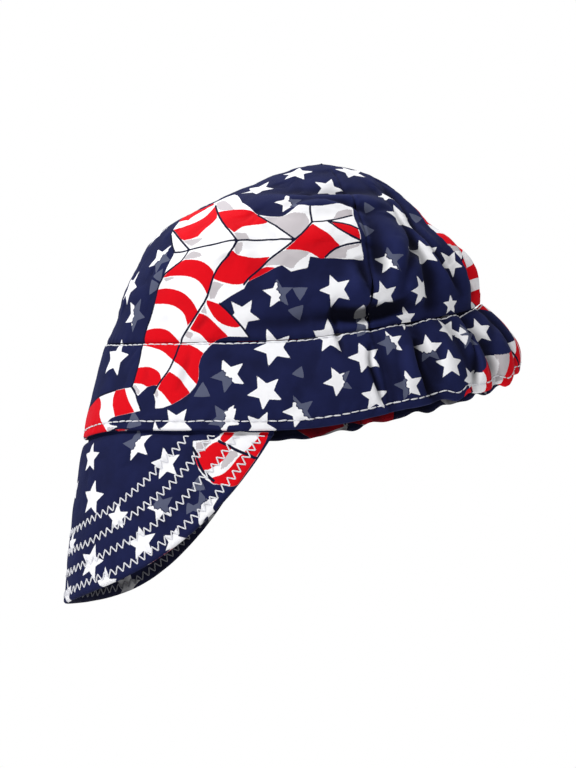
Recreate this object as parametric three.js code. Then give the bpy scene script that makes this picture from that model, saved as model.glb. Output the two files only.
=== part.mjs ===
import * as THREE from "three";

// A soft cotton welding cap, worn form. Four crown panels are sewn to a plain front band and to a
// gathered back band, and a quilted peak hangs from the front band's lower edge.
// Millimetres, +Z up, -Y is the front and +X the wearer's left. The origin is the middle of the head
// opening, level with the rim at the front.

// The rim is the oval of the bands' lower edge.
const RIM_LENGTH = 218;
const RIM_WIDTH = 144;
// The rim is this much higher at the nape than at the brow.
const RIM_RISE = 34;
// The right side rides up by this much.
const RIGHT_RIDE = 4;

// The bands stand on the rim, and the oval of their upper edge carries the crown.
const BAND_HEIGHT = 44;
const BAND_TOP_LENGTH = 188;
const BAND_TOP_WIDTH = 133;
const BAND_TOP_SETBACK = -4;
const BAND_BULGE = 7;
const BAND_SEAM_DEG = 110;
const BAND_WALL = 2.2;
const GATHERED_WALL = 3;
const GATHER_DEPTH = 2.6;

// The apex is where the four crown panels meet.
const APEX_HEIGHT = 138;
const APEX_SETBACK = 9.5;
const CROWN_WALL = 1.3;
// The panels stop this far short of the apex, as a share of their length.
const CROWN_TIP_SHARE = 0.02;
const FOLD_DEPTH = 4;

// The peak is sewn behind the front band and hangs below it.
const PEAK_LENGTH = 80;
const PEAK_SPAN_DEG = 80;
const PEAK_FLARE_DEG = 6.5;
const PEAK_CORNER_POWER = 3.5;
// The left half hangs shorter than the right by twice this, where the peak curls.
const PEAK_TWIST = 5;
const PEAK_TWIST_POWER = 1.6;
const PEAK_LAP = 8;
// The peak comes out from behind the band this far below the rim, over this length.
const PEAK_CLEAR = 1.5;
const PEAK_EMERGE = 1.2;
const PEAK_WALL = 3;

// Clearances between sewn pieces.
const SEAM_GAP = 0.4;
const LAP_GAP = 0.6;

// Faces along each piece.
const DEG_PER_FACE_SMOOTH = 5.5;
const DEG_PER_FACE_GATHERED = 2;
const DEG_PER_FACE_FOLDED = 2.8;
const BAND_ROWS = 4;
const CROWN_ROWS = 14;
const PEAK_ROWS = 9;

const RAD = Math.PI / 180;

// One row every 30 degrees from the front to the back: how high the rim has risen, as a share of
// RIM_RISE, how tall the band is, as a share of BAND_HEIGHT, and its bulge, as a share of BAND_BULGE.
const aroundTable = [
  { rise: -0.05, tall: 1.07, bulge: 0.1 },
  { rise: 0.0, tall: 0.98, bulge: 0.15 },
  { rise: -0.04, tall: 0.97, bulge: 0.25 },
  { rise: -0.02, tall: 0.98, bulge: 0.4 },
  { rise: 0.33, tall: 0.9, bulge: 0.6 },
  { rise: 0.68, tall: 0.83, bulge: 0.85 },
  { rise: 1.0, tall: 0.76, bulge: 1.0 },
];

// The crown's outline from the band up to the apex. Reach is the share of the way from the apex out to
// the band's edge, and rise the share of the height between them, on the front, side and back.
const crownTable = [
  { frontReach: 1.0, frontRise: 0.0, sideReach: 1.0, sideRise: 0.0, backReach: 1.0, backRise: 0.0 },
  { frontReach: 0.95, frontRise: 0.13, sideReach: 1.045, sideRise: 0.12, backReach: 0.98, backRise: 0.1 },
  { frontReach: 0.925, frontRise: 0.26, sideReach: 1.05, sideRise: 0.27, backReach: 0.955, backRise: 0.2 },
  { frontReach: 0.86, frontRise: 0.42, sideReach: 1.01, sideRise: 0.42, backReach: 0.915, backRise: 0.3 },
  { frontReach: 0.775, frontRise: 0.57, sideReach: 0.925, sideRise: 0.56, backReach: 0.83, backRise: 0.4 },
  { frontReach: 0.655, frontRise: 0.68, sideReach: 0.8, sideRise: 0.665, backReach: 0.71, backRise: 0.51 },
  { frontReach: 0.52, frontRise: 0.77, sideReach: 0.66, sideRise: 0.75, backReach: 0.58, backRise: 0.7 },
  { frontReach: 0.37, frontRise: 0.855, sideReach: 0.46, sideRise: 0.84, backReach: 0.43, backRise: 0.83 },
  { frontReach: 0.19, frontRise: 0.94, sideReach: 0.24, sideRise: 0.94, backReach: 0.25, backRise: 0.935 },
  { frontReach: 0.0, frontRise: 1.0, sideReach: 0.0, sideRise: 1.0, backReach: 0.0, backRise: 1.0 },
];

// Soft folds of the crown: the middle and spread in degrees from the front, the middle and spread as
// shares of the way from band to apex, and the depth as a share of FOLD_DEPTH, inwards when negative.
const crownFolds = [
  { around: 97, aroundSpread: 38, level: 0.735, levelSpread: 0.045, depth: -0.9 },
  { around: 97, aroundSpread: 38, level: 0.64, levelSpread: 0.05, depth: 0.35 },
  { around: 97, aroundSpread: 13, level: 0.3, levelSpread: 0.07, depth: -0.35 },
  { around: 108, aroundSpread: 15, level: 0.085, levelSpread: 0.032, depth: -1.15 },
  { around: 106, aroundSpread: 14, level: 0.185, levelSpread: 0.055, depth: 0.85 },
  { around: 113, aroundSpread: 3.2, level: 0.36, levelSpread: 0.16, depth: -0.8 },
  { around: 121, aroundSpread: 4.5, level: 0.3, levelSpread: 0.26, depth: 0.5 },
  { around: 132, aroundSpread: 4, level: 0.3, levelSpread: 0.3, depth: -0.9 },
  { around: 140, aroundSpread: 4, level: 0.22, levelSpread: 0.3, depth: 0.3 },
  { around: 151, aroundSpread: 5.5, level: 0.36, levelSpread: 0.34, depth: 1.1 },
  { around: 159.5, aroundSpread: 3.2, level: 0.36, levelSpread: 0.38, depth: -1.3 },
  { around: 167, aroundSpread: 4, level: 0.3, levelSpread: 0.32, depth: 0.75 },
  { around: 174, aroundSpread: 3.2, level: 0.26, levelSpread: 0.26, depth: -0.5 },
];

// Gathers of the back band: the middle and spread in degrees from the front, and the depth as a share
// of GATHER_DEPTH.
const gathers = [
  { around: 111, spread: 2.2, depth: -0.7 },
  { around: 117, spread: 3, depth: 0.4 },
  { around: 124, spread: 2.6, depth: -1.1 },
  { around: 131, spread: 3.5, depth: 0.6 },
  { around: 137.5, spread: 2.4, depth: -0.6 },
  { around: 142.5, spread: 2.2, depth: 0.5 },
  { around: 148, spread: 2.8, depth: -1.5 },
  { around: 156, spread: 4, depth: 0.9 },
  { around: 163.5, spread: 2.6, depth: -0.9 },
  { around: 169, spread: 3, depth: 0.5 },
  { around: 174.5, spread: 2.4, depth: -0.7 },
  { around: 180, spread: 3, depth: 0.4 },
];

// The right side's folds lie this many degrees out of step with the left side's, and are this share
// shallower.
const RIGHT_SIDE_DRIFT_DEG = 3;
const RIGHT_SIDE_SOFTER = 0.2;

// A smooth curve through evenly spaced values, read at a place from 0 to their last index.
function smoothAt(values, place) {
  const last = values.length - 1;
  const i = Math.min(Math.max(Math.floor(place), 0), last - 1);
  const t = place - i;
  const before = values[Math.max(i - 1, 0)];
  const after = values[Math.min(i + 2, last)];
  const a = values[i];
  const b = values[i + 1];
  const slopeA = (b - before) / 2;
  const slopeB = (after - a) / 2;
  const t2 = t * t;
  const t3 = t2 * t;
  return (2 * t3 - 3 * t2 + 1) * a + (t3 - 2 * t2 + t) * slopeA + (3 * t2 - 2 * t3) * b + (t3 - t2) * slopeB;
}

// Degrees from the front, 0 to 180, on either side of the cap.
function fromFront(around) {
  const turned = Math.abs(((((around + 180) % 360) + 360) % 360) - 180);
  return turned;
}

function aroundValue(name, around) {
  const values = aroundTable.map((row) => row[name]);
  return smoothAt([values[1], ...values, values.at(-2)], fromFront(around) / 30 + 1);
}

// A point of an oval that lies flat, with the front at 0 degrees and the left side at 90.
function oval(length, width, setback, height, around) {
  const angle = around * RAD;
  return new THREE.Vector3((Math.sin(angle) * width) / 2, setback - (Math.cos(angle) * length) / 2, height);
}

// The rim oval's outward direction.
function outwards(around) {
  const angle = around * RAD;
  return new THREE.Vector3(Math.sin(angle) * RIM_LENGTH, -Math.cos(angle) * RIM_WIDTH, 0).normalize();
}

// How high the rim has risen above its front.
function rimHeight(around) {
  const onTheRight = Math.max(-Math.sin(around * RAD), 0);
  return RIM_RISE * aroundValue("rise", around) + RIGHT_RIDE * onTheRight ** 2;
}

function rimPoint(around) {
  return oval(RIM_LENGTH, RIM_WIDTH, 0, rimHeight(around), around);
}

function bandTopPoint(around) {
  const height = rimHeight(around) + BAND_HEIGHT * aroundValue("tall", around);
  return oval(BAND_TOP_LENGTH, BAND_TOP_WIDTH, BAND_TOP_SETBACK, height, around);
}

// The band without its gathers, from the rim at level 0 to its upper edge at level 1.
function bandBase(around, level) {
  const bulge = BAND_BULGE * aroundValue("bulge", around) * 4 * level * (1 - level);
  const point = rimPoint(around).lerp(bandTopPoint(around), level);
  return point.addScaledVector(outwards(around), bulge);
}

function crownShare(quantity, around, level) {
  const place = level * (crownTable.length - 1);
  const towardsFront = Math.cos(around * RAD);
  const endwise = towardsFront * towardsFront;
  const end = towardsFront > 0 ? "front" : "back";
  const atEnd = smoothAt(crownTable.map((row) => row[end + quantity]), place);
  const atSide = smoothAt(crownTable.map((row) => row["side" + quantity]), place);
  return endwise * atEnd + (1 - endwise) * atSide;
}

// The crown without its folds, from the band at level 0 to the apex at level 1.
function crownBase(around, level) {
  const foot = bandTopPoint(around);
  const reach = crownShare("Reach", around, level);
  const rise = crownShare("Rise", around, level);
  return new THREE.Vector3(
    foot.x * reach,
    APEX_SETBACK + (foot.y - APEX_SETBACK) * reach,
    foot.z + (APEX_HEIGHT - foot.z) * rise,
  );
}

// Where a place round the cap reads the fold tables.
function foldAngle(around) {
  const angle = fromFront(around);
  const onTheRight = Math.sin(around * RAD) < 0;
  return onTheRight ? angle + RIGHT_SIDE_DRIFT_DEG * Math.sin(2 * angle * RAD) : angle;
}

function sideDepth(around) {
  return 1 - (RIGHT_SIDE_SOFTER * (1 - Math.sin(around * RAD))) / 2;
}

function bell(distance, spread) {
  return Math.exp(-((distance / spread) ** 2));
}

function crownFold(around, level) {
  const angle = foldAngle(around);
  let sum = 0;
  for (const fold of crownFolds)
    sum +=
      fold.depth * bell(angle - fold.around, fold.aroundSpread) * bell(level - fold.level, fold.levelSpread);
  return FOLD_DEPTH * sum * sideDepth(around) * Math.min(1, level * 12);
}

function bandGather(around, level) {
  const angle = foldAngle(around);
  let sum = 0;
  for (const gather of gathers) sum += gather.depth * bell(angle - gather.around, gather.spread);
  const heldBySeams = 0.45 + 0.55 * Math.sin(Math.PI * level);
  return GATHER_DEPTH * sum * sideDepth(around) * heldBySeams;
}

// The outward normal of a surface of around and level, from two short steps along it.
function normalOf(surface, around, level) {
  const step = 0.01;
  const high = Math.min(level + step, 1);
  const low = Math.max(level - step, 0);
  const along = surface(around + 0.5, level).sub(surface(around - 0.5, level));
  const up = surface(around, high).sub(surface(around, low));
  return along.cross(up).normalize();
}

// Half a seam's gap as degrees round the cap, at one level of a surface.
function seamHalfGap(surface, around, level) {
  const perDegree = surface(around + 0.5, level).distanceTo(surface(around - 0.5, level));
  return SEAM_GAP / 2 / perDegree;
}

// A closed wall between two grids of points, with its outer face counterclockwise from outside.
function wallGeometry(outer, inner, columns, rows) {
  const positions = [];
  const index = [];
  const across = rows + 1;
  const count = (columns + 1) * across;
  for (const face of [outer, inner])
    for (let i = 0; i <= columns; i++)
      for (let j = 0; j <= rows; j++) positions.push(...face(i / columns, j / rows).toArray());
  const quad = (a, b, c, d) => index.push(a, b, c, a, c, d);
  for (let i = 0; i < columns; i++)
    for (let j = 0; j < rows; j++) {
      const a = i * across + j;
      quad(a, a + across, a + across + 1, a + 1);
      quad(count + a, count + a + 1, count + a + across + 1, count + a + across);
    }
  for (let i = 0; i < columns; i++) {
    const low = i * across;
    const high = low + rows;
    quad(low, count + low, count + low + across, low + across);
    quad(high, high + across, count + high + across, count + high);
  }
  for (let j = 0; j < rows; j++) {
    const last = columns * across + j;
    quad(j, j + 1, count + j + 1, count + j);
    quad(last, count + last, count + last + 1, last + 1);
  }
  const geometry = new THREE.BufferGeometry();
  geometry.setAttribute("position", new THREE.Float32BufferAttribute(positions, 3));
  geometry.setIndex(index);
  geometry.computeVertexNormals();
  return geometry;
}

// A sewn panel of a surface between two seams, as thick as its wall.
function panel(surface, fold, fromDeg, toDeg, lowLevel, highLevel, wall, columns, rows) {
  const face = (depth) => (s, t) => {
    const level = lowLevel + (highLevel - lowLevel) * t;
    const start = fromDeg + seamHalfGap(surface, fromDeg, level);
    const end = toDeg - seamHalfGap(surface, toDeg, level);
    const around = start + (end - start) * s;
    const outward = normalOf(surface, around, level);
    return surface(around, level).addScaledVector(outward, fold(around, level) - depth);
  };
  return wallGeometry(face(0), face(wall), columns, rows);
}

// Half a seam's gap as a level of the band and of the crown.
const bandSeamLevel = SEAM_GAP / 2 / BAND_HEIGHT;
const crownSeamLevel = SEAM_GAP / 2 / (APEX_HEIGHT - BAND_HEIGHT);

function crownPanel(fromDeg, toDeg, degPerFace) {
  const columns = Math.round((toDeg - fromDeg) / degPerFace);
  const tip = 1 - CROWN_TIP_SHARE;
  return panel(crownBase, crownFold, fromDeg, toDeg, crownSeamLevel, tip, CROWN_WALL, columns, CROWN_ROWS);
}

function bandPanel(fromDeg, toDeg, wall, degPerFace) {
  const columns = Math.round((toDeg - fromDeg) / degPerFace);
  return panel(bandBase, bandGather, fromDeg, toDeg, 0, 1 - bandSeamLevel, wall, columns, BAND_ROWS);
}

// How far the peak hangs below the rim at a place round it.
function peakDrop(around) {
  const share = Math.min(Math.abs(around) / PEAK_SPAN_DEG, 1);
  const twist = PEAK_TWIST * Math.sin(Math.PI * share ** PEAK_TWIST_POWER) * Math.sign(around);
  return PEAK_LENGTH * (1 - share ** PEAK_CORNER_POWER) - twist;
}

// The peak's outer face. Along is measured down from the rim, and is negative behind the band.
function peakPoint(around, along, depth) {
  const inset = BAND_WALL + LAP_GAP;
  if (along < 0) {
    const level = -along / (BAND_HEIGHT * aroundValue("tall", around));
    const leaning = normalOf(bandBase, around, level);
    return bandBase(around, level).addScaledVector(leaning, bandGather(around, level) - inset - depth);
  }
  const flare = PEAK_FLARE_DEG * RAD;
  const below = Math.max(along - PEAK_CLEAR, 0);
  const emerging = inset * Math.exp(-below / PEAK_EMERGE);
  const outward = outwards(around);
  const point = rimPoint(around).addScaledVector(outward, below * Math.sin(flare) - emerging - depth);
  point.z -= along * Math.cos(flare);
  return point;
}

// The peak's last row of faces is the lap behind the band.
function peakGeometry() {
  const columns = Math.round((2 * PEAK_SPAN_DEG) / DEG_PER_FACE_SMOOTH);
  const lapShare = 1 / PEAK_ROWS;
  const face = (depth) => (s, t) => {
    const around = PEAK_SPAN_DEG * (2 * s - 1);
    const hanging = (1 - t) / (1 - lapShare) - lapShare / (1 - lapShare);
    const along = t < 1 ? PEAK_CLEAR + peakDrop(around) * hanging : -PEAK_LAP;
    return peakPoint(around, along, depth);
  };
  return wallGeometry(face(0), face(PEAK_WALL), columns, PEAK_ROWS);
}

// Cotton with a navy ground, and the same cloth quilted for the peak.
const cotton = new THREE.MeshStandardMaterial({ color: 0x2a3160, roughness: 0.85, metalness: 0 });
const quilted = new THREE.MeshStandardMaterial({ color: 0x2f376a, roughness: 0.8, metalness: 0 });

function named(name, geometry, material) {
  const mesh = new THREE.Mesh(geometry, material);
  mesh.name = name;
  return mesh;
}

const cap = new THREE.Group();
const sideSeam = BAND_SEAM_DEG;

const crown = new THREE.Group();
crown.add(named("crown_front_left", crownPanel(0, sideSeam, DEG_PER_FACE_SMOOTH), cotton));
crown.add(named("crown_back_left", crownPanel(sideSeam, 180, DEG_PER_FACE_FOLDED), cotton));
crown.add(named("crown_back_right", crownPanel(180, 360 - sideSeam, DEG_PER_FACE_FOLDED), cotton));
crown.add(named("crown_front_right", crownPanel(-sideSeam, 0, DEG_PER_FACE_SMOOTH), cotton));
cap.add(crown);

const bands = new THREE.Group();
bands.add(named("band_front", bandPanel(-sideSeam, sideSeam, BAND_WALL, DEG_PER_FACE_SMOOTH), cotton));
bands.add(
  named("band_back", bandPanel(sideSeam, 360 - sideSeam, GATHERED_WALL, DEG_PER_FACE_GATHERED), cotton),
);
cap.add(bands);

cap.add(named("peak", peakGeometry(), quilted));

export default cap;
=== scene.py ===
# %% [markdown]
# # A welding cap in stars and stripes
# A soft cotton cap, sewn from four crown panels, a band that is plain in front and gathered behind,
# and a long quilted peak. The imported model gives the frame: every piece made here stands for one of
# its solids and stays where that solid is.

import bpy
import numpy as np
from mathutils import Matrix


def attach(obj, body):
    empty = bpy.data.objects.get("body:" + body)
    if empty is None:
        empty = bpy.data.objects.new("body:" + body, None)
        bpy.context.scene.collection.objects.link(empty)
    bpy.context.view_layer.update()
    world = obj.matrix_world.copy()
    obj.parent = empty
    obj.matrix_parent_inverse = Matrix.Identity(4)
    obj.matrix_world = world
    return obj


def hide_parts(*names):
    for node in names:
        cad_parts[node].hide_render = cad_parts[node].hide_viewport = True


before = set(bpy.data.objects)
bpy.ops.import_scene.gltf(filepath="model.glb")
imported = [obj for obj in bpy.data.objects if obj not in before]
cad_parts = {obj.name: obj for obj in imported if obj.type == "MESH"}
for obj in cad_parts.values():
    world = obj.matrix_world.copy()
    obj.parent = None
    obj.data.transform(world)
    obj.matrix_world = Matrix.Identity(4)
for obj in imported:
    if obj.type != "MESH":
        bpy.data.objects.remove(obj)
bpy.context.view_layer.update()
print("pieces in the frame:", sorted(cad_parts))

# %% [markdown]
# ## The cap's sizes
# These are the sizes of the solids, in millimetres. The tables give shares of them, so that a reader
# can change a size in one place. A row of `around_table` stands every 30 degrees from the front to
# the back, and a row of `crown_table` at even steps from the band to the apex.

# %% Sizes and tables
RIM_LENGTH, RIM_WIDTH, RIM_RISE, RIGHT_RIDE = 218, 144, 34, 4
BAND_HEIGHT, BAND_TOP_LENGTH, BAND_TOP_WIDTH, BAND_TOP_SETBACK, BAND_BULGE = 44, 188, 133, -4, 7
BAND_SEAM_DEG, BAND_WALL, GATHERED_WALL, GATHER_DEPTH = 110, 2.2, 3.0, 2.6
APEX_HEIGHT, APEX_SETBACK, CROWN_WALL, FOLD_DEPTH = 138, 9.5, 1.3, 4
PEAK_LENGTH, PEAK_SPAN_DEG, PEAK_FLARE_DEG, PEAK_CORNER_POWER = 80, 80, 6.5, 3.5
PEAK_TWIST, PEAK_TWIST_POWER = 5, 1.6
PEAK_LAP, PEAK_CLEAR, PEAK_EMERGE, PEAK_WALL, LAP_GAP = 8, 1.5, 1.2, 3.0, 0.6
RIGHT_SIDE_DRIFT_DEG, RIGHT_SIDE_SOFTER = 3, 0.2

around_table = {
    "rise": [-0.05, 0.0, -0.04, -0.02, 0.33, 0.68, 1.0],
    "tall": [1.07, 0.98, 0.97, 0.98, 0.9, 0.83, 0.76],
    "bulge": [0.1, 0.15, 0.25, 0.4, 0.6, 0.85, 1.0],
}
crown_table = {
    "front_reach": [1.0, 0.95, 0.925, 0.86, 0.775, 0.655, 0.52, 0.37, 0.19, 0.0],
    "front_rise": [0.0, 0.13, 0.26, 0.42, 0.57, 0.68, 0.77, 0.855, 0.94, 1.0],
    "side_reach": [1.0, 1.045, 1.05, 1.01, 0.925, 0.8, 0.66, 0.46, 0.24, 0.0],
    "side_rise": [0.0, 0.12, 0.27, 0.42, 0.56, 0.665, 0.75, 0.84, 0.94, 1.0],
    "back_reach": [1.0, 0.98, 0.955, 0.915, 0.83, 0.71, 0.58, 0.43, 0.25, 0.0],
    "back_rise": [0.0, 0.1, 0.2, 0.3, 0.4, 0.51, 0.7, 0.83, 0.935, 1.0],
}
crown_folds = [
    dict(around=97, around_spread=38, level=0.735, level_spread=0.045, depth=-0.9),
    dict(around=97, around_spread=38, level=0.64, level_spread=0.05, depth=0.35),
    dict(around=97, around_spread=13, level=0.3, level_spread=0.07, depth=-0.35),
    dict(around=108, around_spread=15, level=0.085, level_spread=0.032, depth=-1.15),
    dict(around=106, around_spread=14, level=0.185, level_spread=0.055, depth=0.85),
    dict(around=113, around_spread=3.2, level=0.36, level_spread=0.16, depth=-0.8),
    dict(around=121, around_spread=4.5, level=0.3, level_spread=0.26, depth=0.5),
    dict(around=132, around_spread=4, level=0.3, level_spread=0.3, depth=-0.9),
    dict(around=140, around_spread=4, level=0.22, level_spread=0.3, depth=0.3),
    dict(around=151, around_spread=5.5, level=0.36, level_spread=0.34, depth=1.1),
    dict(around=159.5, around_spread=3.2, level=0.36, level_spread=0.38, depth=-1.3),
    dict(around=167, around_spread=4, level=0.3, level_spread=0.32, depth=0.75),
    dict(around=174, around_spread=3.2, level=0.26, level_spread=0.26, depth=-0.5),
]
gathers = [
    dict(around=111, spread=2.2, depth=-0.7),
    dict(around=117, spread=3, depth=0.4),
    dict(around=124, spread=2.6, depth=-1.1),
    dict(around=131, spread=3.5, depth=0.6),
    dict(around=137.5, spread=2.4, depth=-0.6),
    dict(around=142.5, spread=2.2, depth=0.5),
    dict(around=148, spread=2.8, depth=-1.5),
    dict(around=156, spread=4, depth=0.9),
    dict(around=163.5, spread=2.6, depth=-0.9),
    dict(around=169, spread=3, depth=0.5),
    dict(around=174.5, spread=2.4, depth=-0.7),
    dict(around=180, spread=3, depth=0.4),
]
print("rim", RIM_LENGTH, "by", RIM_WIDTH, "mm,", len(crown_folds), "crown folds,", len(gathers), "gathers")

# %% [markdown]
# ## The cloth surfaces
# A sewn cap is a few curved sheets that meet at seams. Modelling by hand would give uneven panels, so
# each sheet is a function of two numbers: the angle round the cap, 0 at the front and 90 on the
# wearer's left, and the level up the piece.


# %% The base surfaces
def smooth_curve(values, place):
    """A curve through evenly spaced values: on each step, a cubic whose slopes match its neighbours'."""
    values = np.asarray(values, float)
    last = len(values) - 1
    i = np.clip(np.floor(place).astype(int), 0, last - 1)
    t = place - i
    a, b = values[i], values[i + 1]
    slope_a = (b - values[np.maximum(i - 1, 0)]) / 2
    slope_b = (values[np.minimum(i + 2, last)] - a) / 2
    return (
        (2 * t**3 - 3 * t**2 + 1) * a
        + (t**3 - 2 * t**2 + t) * slope_a
        + (3 * t**2 - 2 * t**3) * b
        + (t**3 - t**2) * slope_b
    )


def from_front(around):
    """Degrees from the front on either side, 0 to 180."""
    return np.abs((around + 180) % 360 - 180)


def around_value(name, around):
    """The around_table's curve, mirrored past its ends."""
    values = around_table[name]
    return smooth_curve([values[1], *values, values[-2]], from_front(around) / 30 + 1)


def oval(length, width, setback, height, around):
    """A level oval: half the width times the sine, and half the length times the cosine forwards."""
    angle = np.radians(around)
    return np.stack([np.sin(angle) * width / 2, setback - np.cos(angle) * length / 2, height], -1)


def unit(vectors):
    """Each vector over its own length."""
    return vectors / np.maximum(np.linalg.norm(vectors, axis=-1, keepdims=True), 1e-12)


def outwards(around):
    """The rim oval's outward direction."""
    angle = np.radians(around)
    return unit(np.stack([np.sin(angle) * RIM_LENGTH, -np.cos(angle) * RIM_WIDTH, 0 * angle], -1))


def rim_height(around):
    """The rise times its share round the cap, and a little more on the right by a squared sine."""
    on_the_right = np.maximum(-np.sin(np.radians(around)), 0)
    return RIM_RISE * around_value("rise", around) + RIGHT_RIDE * on_the_right**2


def rim_point(around):
    """The edge of the head opening."""
    return oval(RIM_LENGTH, RIM_WIDTH, 0, rim_height(around), around)


def band_top_point(around):
    """The band's upper edge: a smaller oval, at the rim's height plus the band's."""
    height = rim_height(around) + BAND_HEIGHT * around_value("tall", around)
    return oval(BAND_TOP_LENGTH, BAND_TOP_WIDTH, BAND_TOP_SETBACK, height, around)


def band_base(around, level):
    """Straight from the rim to the band's upper edge, plus a parabola that bulges outwards."""
    bulge = BAND_BULGE * around_value("bulge", around) * 4 * level * (1 - level)
    low, high = rim_point(around), band_top_point(around)
    return low + (high - low) * level[..., None] + outwards(around) * bulge[..., None]


def crown_share(quantity, around, level):
    """The outline at the front or back and at the side, blended by the squared cosine of the angle."""
    place = level * (len(crown_table["side_reach"]) - 1)
    towards_front = np.cos(np.radians(around))
    front, side, back = (
        smooth_curve(crown_table[f"{where}_{quantity}"], place) for where in ("front", "side", "back")
    )
    endwise = towards_front**2
    return endwise * np.where(towards_front > 0, front, back) + (1 - endwise) * side


def crown_base(around, level):
    """The band's upper edge drawn in towards the apex by its reach, and lifted by its rise."""
    foot = band_top_point(around)
    reach, rise = crown_share("reach", around, level), crown_share("rise", around, level)
    y = APEX_SETBACK + (foot[..., 1] - APEX_SETBACK) * reach
    z = foot[..., 2] + (APEX_HEIGHT - foot[..., 2]) * rise
    return np.stack([foot[..., 0] * reach, y, z], -1)


def normal_of(surface, around, level):
    """The cross product of two short steps along a surface."""
    high, low = np.minimum(level + 0.01, 1), np.maximum(level - 0.01, 0)
    along = surface(around + 0.5, level) - surface(around - 0.5, level)
    up = surface(around, high) - surface(around, low)
    return unit(np.cross(along, up))


print("rim at the nape:", rim_point(np.array(180.0)).round(1), "mm")

# %% [markdown]
# ## Folds, gathers and creases
# The elastic draws the back in, so the cloth stands in pleats at the band and the pleats run up into
# the crown as they die out. The large folds are those of the solids. Cotton also creases finely, and
# each line of stitches draws up small ripples, which are added here, where there are faces enough.


# %% Folds
def bell(distance, spread):
    """1 at no distance, falling by the exponential of the squared share of the spread."""
    return np.exp(-((distance / spread) ** 2))


def fold_angle(around):
    """The left side reads the tables as they are, and the right side a few degrees out of step."""
    angle = from_front(around)
    on_the_right = np.sin(np.radians(around)) < 0
    return angle + np.where(on_the_right, RIGHT_SIDE_DRIFT_DEG * np.sin(2 * np.radians(angle)), 0)


def side_depth(around):
    """1 on the left, less the right side's softness by half of one less the sine."""
    return 1 - RIGHT_SIDE_SOFTER * (1 - np.sin(np.radians(around))) / 2


def crown_fold(around, level):
    """A sum of bells over angle and level, held flat at the band."""
    angle = fold_angle(around)
    total = sum(
        fold["depth"]
        * bell(angle - fold["around"], fold["around_spread"])
        * bell(level - fold["level"], fold["level_spread"])
        for fold in crown_folds
    )
    return FOLD_DEPTH * total * side_depth(around) * np.minimum(1, level * 12)


def band_gather(around, level):
    """A sum of bells over the angle, less deep at the two seams than between them."""
    angle = fold_angle(around)
    total = sum(row["depth"] * bell(angle - row["around"], row["spread"]) for row in gathers)
    return GATHER_DEPTH * total * side_depth(around) * (0.45 + 0.55 * np.sin(np.pi * level))


SCALLOP_FROM_LEFT, SCALLOP_FROM_RIGHT = BAND_SEAM_DEG + 4, BAND_SEAM_DEG - 26


def hem_scallop(around):
    """How far the gathered hem hangs down between its tucks: two waves over the angle, in mm. They start
    further forward on the right."""
    angle = from_front(around)
    start = np.where(np.sin(np.radians(around)) < 0, SCALLOP_FROM_RIGHT, SCALLOP_FROM_LEFT)
    ahead = np.clip((angle - start) / 12, 0, 1)
    waves = np.sin(np.radians(angle * 31)) + 0.6 * np.sin(np.radians(angle * 47 + 60))
    return ahead * (0.5 + 0.75 * waves)


# Soft creases are plane waves through the cap. A groove is cloth drawn in along a seam or stitches.
# Both tables are in mm.
crease_table = [
    dict(wavelength=64, depth=0.5),
    dict(wavelength=43, depth=0.34),
    dict(wavelength=29, depth=0.24),
    dict(wavelength=19, depth=0.14),
    dict(wavelength=13, depth=0.09),
    dict(wavelength=9, depth=0.05),
]
grooves = {
    "crown_seam": dict(depth=0.8, spread=0.9),
    "crown_foot": dict(depth=0.6, spread=1.4),
    "band_top": dict(depth=0.5, spread=1.2),
    "band_side": dict(depth=0.5, spread=1.1),
    "hem_stitch": dict(depth=0.35, spread=0.9),
}


def creases(points, seed):
    """Waves in seeded directions, each bent by the one before it, so that no crease runs straight."""
    draw = np.random.default_rng(seed)
    total = np.zeros(points.shape[:-1])
    bend = np.zeros(points.shape[:-1])
    for row in crease_table:
        for _ in range(3):
            direction = unit(draw.normal(size=3))
            phase = draw.uniform(0, 2 * np.pi)
            wave = np.sin(points @ direction * 2 * np.pi / row["wavelength"] + phase + bend)
            total += row["depth"] * wave / 1.7
            bend = bend * 0.6 + 1.1 * wave
    return total


def groove(name, distance):
    """The groove's depth times a bell over the distance from its line."""
    return grooves[name]["depth"] * bell(distance, grooves[name]["spread"])


def seam_ripple(distance, travel, depth, seed):
    """Ripples across a line of stitches: a wave along it, fading with the distance from it."""
    draw = np.random.default_rng(seed)
    total = 0
    for period in (5.1, 7.3, 11.9):
        total = total + np.sin(travel * 2 * np.pi / period + draw.uniform(0, 2 * np.pi))
    return depth * total / 3 * bell(distance, 4.5)


print("deepest gather:", band_gather(np.linspace(110, 180, 200), np.full(200, 0.5)).min().round(2), "mm")

# %% [markdown]
# ## From grids to meshes
# A sheet needs a wall, so each piece is one closed shell: a grid of outer points, a grid of inner
# points, and strips of faces that join their edges. numpy works out all the points at once and
# `from_pydata` takes them with the faces.


# %% Shells
def quads(columns, rows, first):
    """The faces of a grid whose points are numbered row by row from a first number."""
    i, j = np.meshgrid(np.arange(columns - 1), np.arange(rows - 1), indexing="ij")
    a = (first + i * rows + j).ravel()
    return np.stack([a, a + rows, a + rows + 1, a + 1], -1)


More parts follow.
